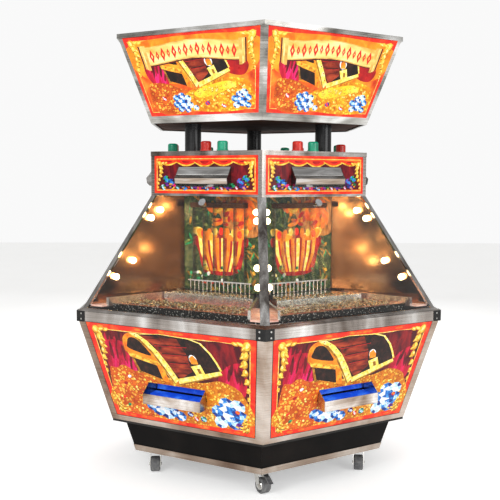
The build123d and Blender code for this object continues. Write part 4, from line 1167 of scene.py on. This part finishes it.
def add_coin(bm, place):
    """One coin with a raised rim round a sunk face."""
    sides, rim, sink = 12, 0.82, 0.0004
    rings = []
    for share, z in ((1, 0), (1, COIN_THICK), (rim, COIN_THICK), (rim * 0.96, COIN_THICK - sink)):
        ring = []
        for i in range(sides):
            a = 2 * math.pi * i / sides
            spot = Vector((COIN_RADIUS * share * math.cos(a), COIN_RADIUS * share * math.sin(a), z))
            ring.append(bm.verts.new(place @ spot))
        rings.append(ring)
    for lower, upper in zip(rings, rings[1:]):
        for i in range(sides):
            k = (i + 1) % sides
            bm.faces.new((lower[i], lower[k], upper[k], upper[i]))
    bm.faces.new(rings[-1])
    bm.faces.new(rings[0][::-1])


def coin_field(name, near, far, half_at, floor_z, gap_share, upper_share, seed):
    """Coins lying in rows, with gaps and a few on top, over a bed between two distances from the centre."""
    draw = random.Random(seed)
    bm = bmesh.new()
    pitch = 2 * COIN_RADIUS + 0.0007
    row_pitch = pitch * 0.87
    rows = int((far - near - 2 * COIN_RADIUS) / row_pitch) + 1
    for row in range(rows):
        x = near + COIN_RADIUS + row * row_pitch
        half = half_at(x) - COIN_RADIUS - 0.003
        count = int(2 * half / pitch)
        start = -half + (pitch / 2 if row % 2 else 0)
        for column in range(count):
            y = start + column * pitch
            if draw.random() < gap_share:
                continue
            place = Matrix.Translation((x, y, floor_z + COIN_REST))
            add_coin(bm, place @ turned(draw.random()))
            for layer in (1, 2):
                if draw.random() > upper_share:
                    break
                lift = floor_z + COIN_REST + layer * (COIN_THICK + 0.0011)
                lean = Matrix.Rotation(draw.uniform(-COIN_LEAN, COIN_LEAN), 4, "X")
                lean = lean @ Matrix.Rotation(draw.uniform(-COIN_LEAN, COIN_LEAN), 4, "Y")
                nudge_x, nudge_y = (draw.uniform(-0.45, 0.45) * COIN_RADIUS for _ in range(2))
                if row in (0, rows - 1):
                    nudge_x = 0
                add_coin(bm, Matrix.Translation((x + nudge_x, y + nudge_y, lift)) @ lean)
    crisp(bm)
    mesh = bpy.data.meshes.new(name)
    bm.to_mesh(mesh)
    bm.free()
    mesh.materials.append(COIN)
    return mesh


# playing surfaces at one station: heights, the bed's ends and half widths, and the pusher's shelf
BED_TOP, PUSHER_TOP = 0.880, 0.9116
BED_BACK, BED_FRONT, BACK_HALF, FRONT_HALF = 0.376, 0.760, 0.205, 0.362
BED_COINS_FROM = 0.584
SHELF_COINS_FROM, SHELF_COINS_TO, SHELF_HALF = 0.42, 0.498, 0.225
SHELF_FRONT = 0.505


def bed_half(x):
    return BACK_HALF + (FRONT_HALF - BACK_HALF) * (x - BED_BACK) / (BED_FRONT - BED_BACK)


def shelf_half(_x):
    return SHELF_HALF


bed_coins = coin_field("coins_bed", BED_COINS_FROM, BED_FRONT - 0.002, bed_half, BED_TOP, 0.07, 0.5, 5)
shelf_coins = coin_field(
    "coins_shelf", SHELF_COINS_FROM, SHELF_COINS_TO, shelf_half, PUSHER_TOP, 0.12, 0.2, 9
)
for number, turn in enumerate(STATION_TURNS, 1):
    piece(f"bed_coins_{number}", bed_coins, "cabinet", turned(turn))
    back = turned(-turn)
    reach = max((back @ v.co).x for v in nodes[f"pusher_{number}"].data.vertices)
    shift = Matrix.Translation((reach - SHELF_FRONT, 0, 0))
    piece(f"shelf_coins_{number}", shelf_coins, f"pusher_{number}", turned(turn) @ shift)

# ---------------------------------------------------------------- studio
FLOOR_HALF = 14
floor_mesh = bpy.data.meshes.new("floor")
floor_corners = [(x * FLOOR_HALF, y * FLOOR_HALF, 0) for x, y in ((-1, -1), (1, -1), (1, 1), (-1, 1))]
floor_mesh.from_pydata(floor_corners, [], [(0, 1, 2, 3)])
floor_material = coated(
    "studio_floor", [(0.9, 0.9, 0.89), (0.93, 0.93, 0.92), (0.95, 0.95, 0.95)], 0.6, 1.5, 0.02
)
add_glow(floor_material, (1, 1, 1), 0.4)
floor_mesh.materials.append(floor_material)
floor = bpy.data.objects.new("floor", floor_mesh)
scene.collection.objects.link(floor)

world = bpy.data.worlds.new("studio")
world.use_nodes = True
sky = world.node_tree
backing = sky.nodes["Background"]
fill(sky, backing, {"Color": (1, 0.995, 0.985), "Strength": 0.5})
plain = sky.nodes.new("ShaderNodeBackground")
fill(sky, plain, {"Color": (1, 1, 1), "Strength": 0.95})
rays = sky.nodes.new("ShaderNodeLightPath")
either = sky.nodes.new("ShaderNodeMixShader")
fill(sky, either, {0: rays.outputs["Is Camera Ray"], 1: backing.outputs[0], 2: plain.outputs[0]})
fill(sky, sky.nodes["World Output"], {"Surface": either.outputs[0]})
scene.world = world


def area_light(name, place, target, size, power):
    light = bpy.data.lights.new(name, "AREA")
    light.size = size
    light.energy = power
    obj = bpy.data.objects.new(name, light)
    scene.collection.objects.link(obj)
    obj.location = place
    obj.rotation_euler = (Vector(target) - Vector(place)).to_track_quat("-Z", "Y").to_euler()


area_light("key", (-2.6, -4.4, 3.4), (0, 0, 1.1), 2.2, 130)
area_light("fill", (3.4, -3.6, 2.2), (0, 0, 1.0), 2.6, 80)
area_light("low_fill", (0.0, -4.6, 0.7), (0, 0, 0.7), 2.0, 30)
area_light("rim", (0.5, 4.2, 3.4), (0, 0, 1.4), 2.6, 90)

# warm light of the bulbs inside each station, one on each side
GLOW_OUT, GLOW_ASIDE, GLOW_UP = 0.6, 0.2, 1.16
for number, turn in enumerate(STATION_TURNS, 1):
    for side in (-1, 1):
        glow = bpy.data.lights.new(f"inner_glow_{number}", "POINT")
        glow.energy = 1.5
        glow.color = (1.0, 0.74, 0.42)
        glow.shadow_soft_size = 0.02
        spot = bpy.data.objects.new(glow.name, glow)
        scene.collection.objects.link(spot)
        spot.matrix_world = turned(turn) @ Matrix.Translation((GLOW_OUT, GLOW_ASIDE * side, GLOW_UP))
        spot.visible_camera = False
        spot.visible_glossy = False

# the camera stands in front and looks slightly down, by a small turn, a tilt and a small roll
CAMERA_PLACE = (-0.173, -4.279, 1.476)
CAMERA_TURN, CAMERA_TILT, CAMERA_ROLL = (math.radians(a) for a in (-1.870, 84.875, 0.255))
camera_data = bpy.data.cameras.new("camera")
camera_data.sensor_width = 36
camera_data.lens = 57.81
camera = bpy.data.objects.new("camera", camera_data)
scene.collection.objects.link(camera)
aim = turned(CAMERA_TURN) @ Matrix.Rotation(CAMERA_TILT, 4, "X") @ turned(CAMERA_ROLL)
camera.matrix_world = Matrix.Translation(CAMERA_PLACE) @ aim
scene.camera = camera
scene.view_settings.view_transform = "Standard"
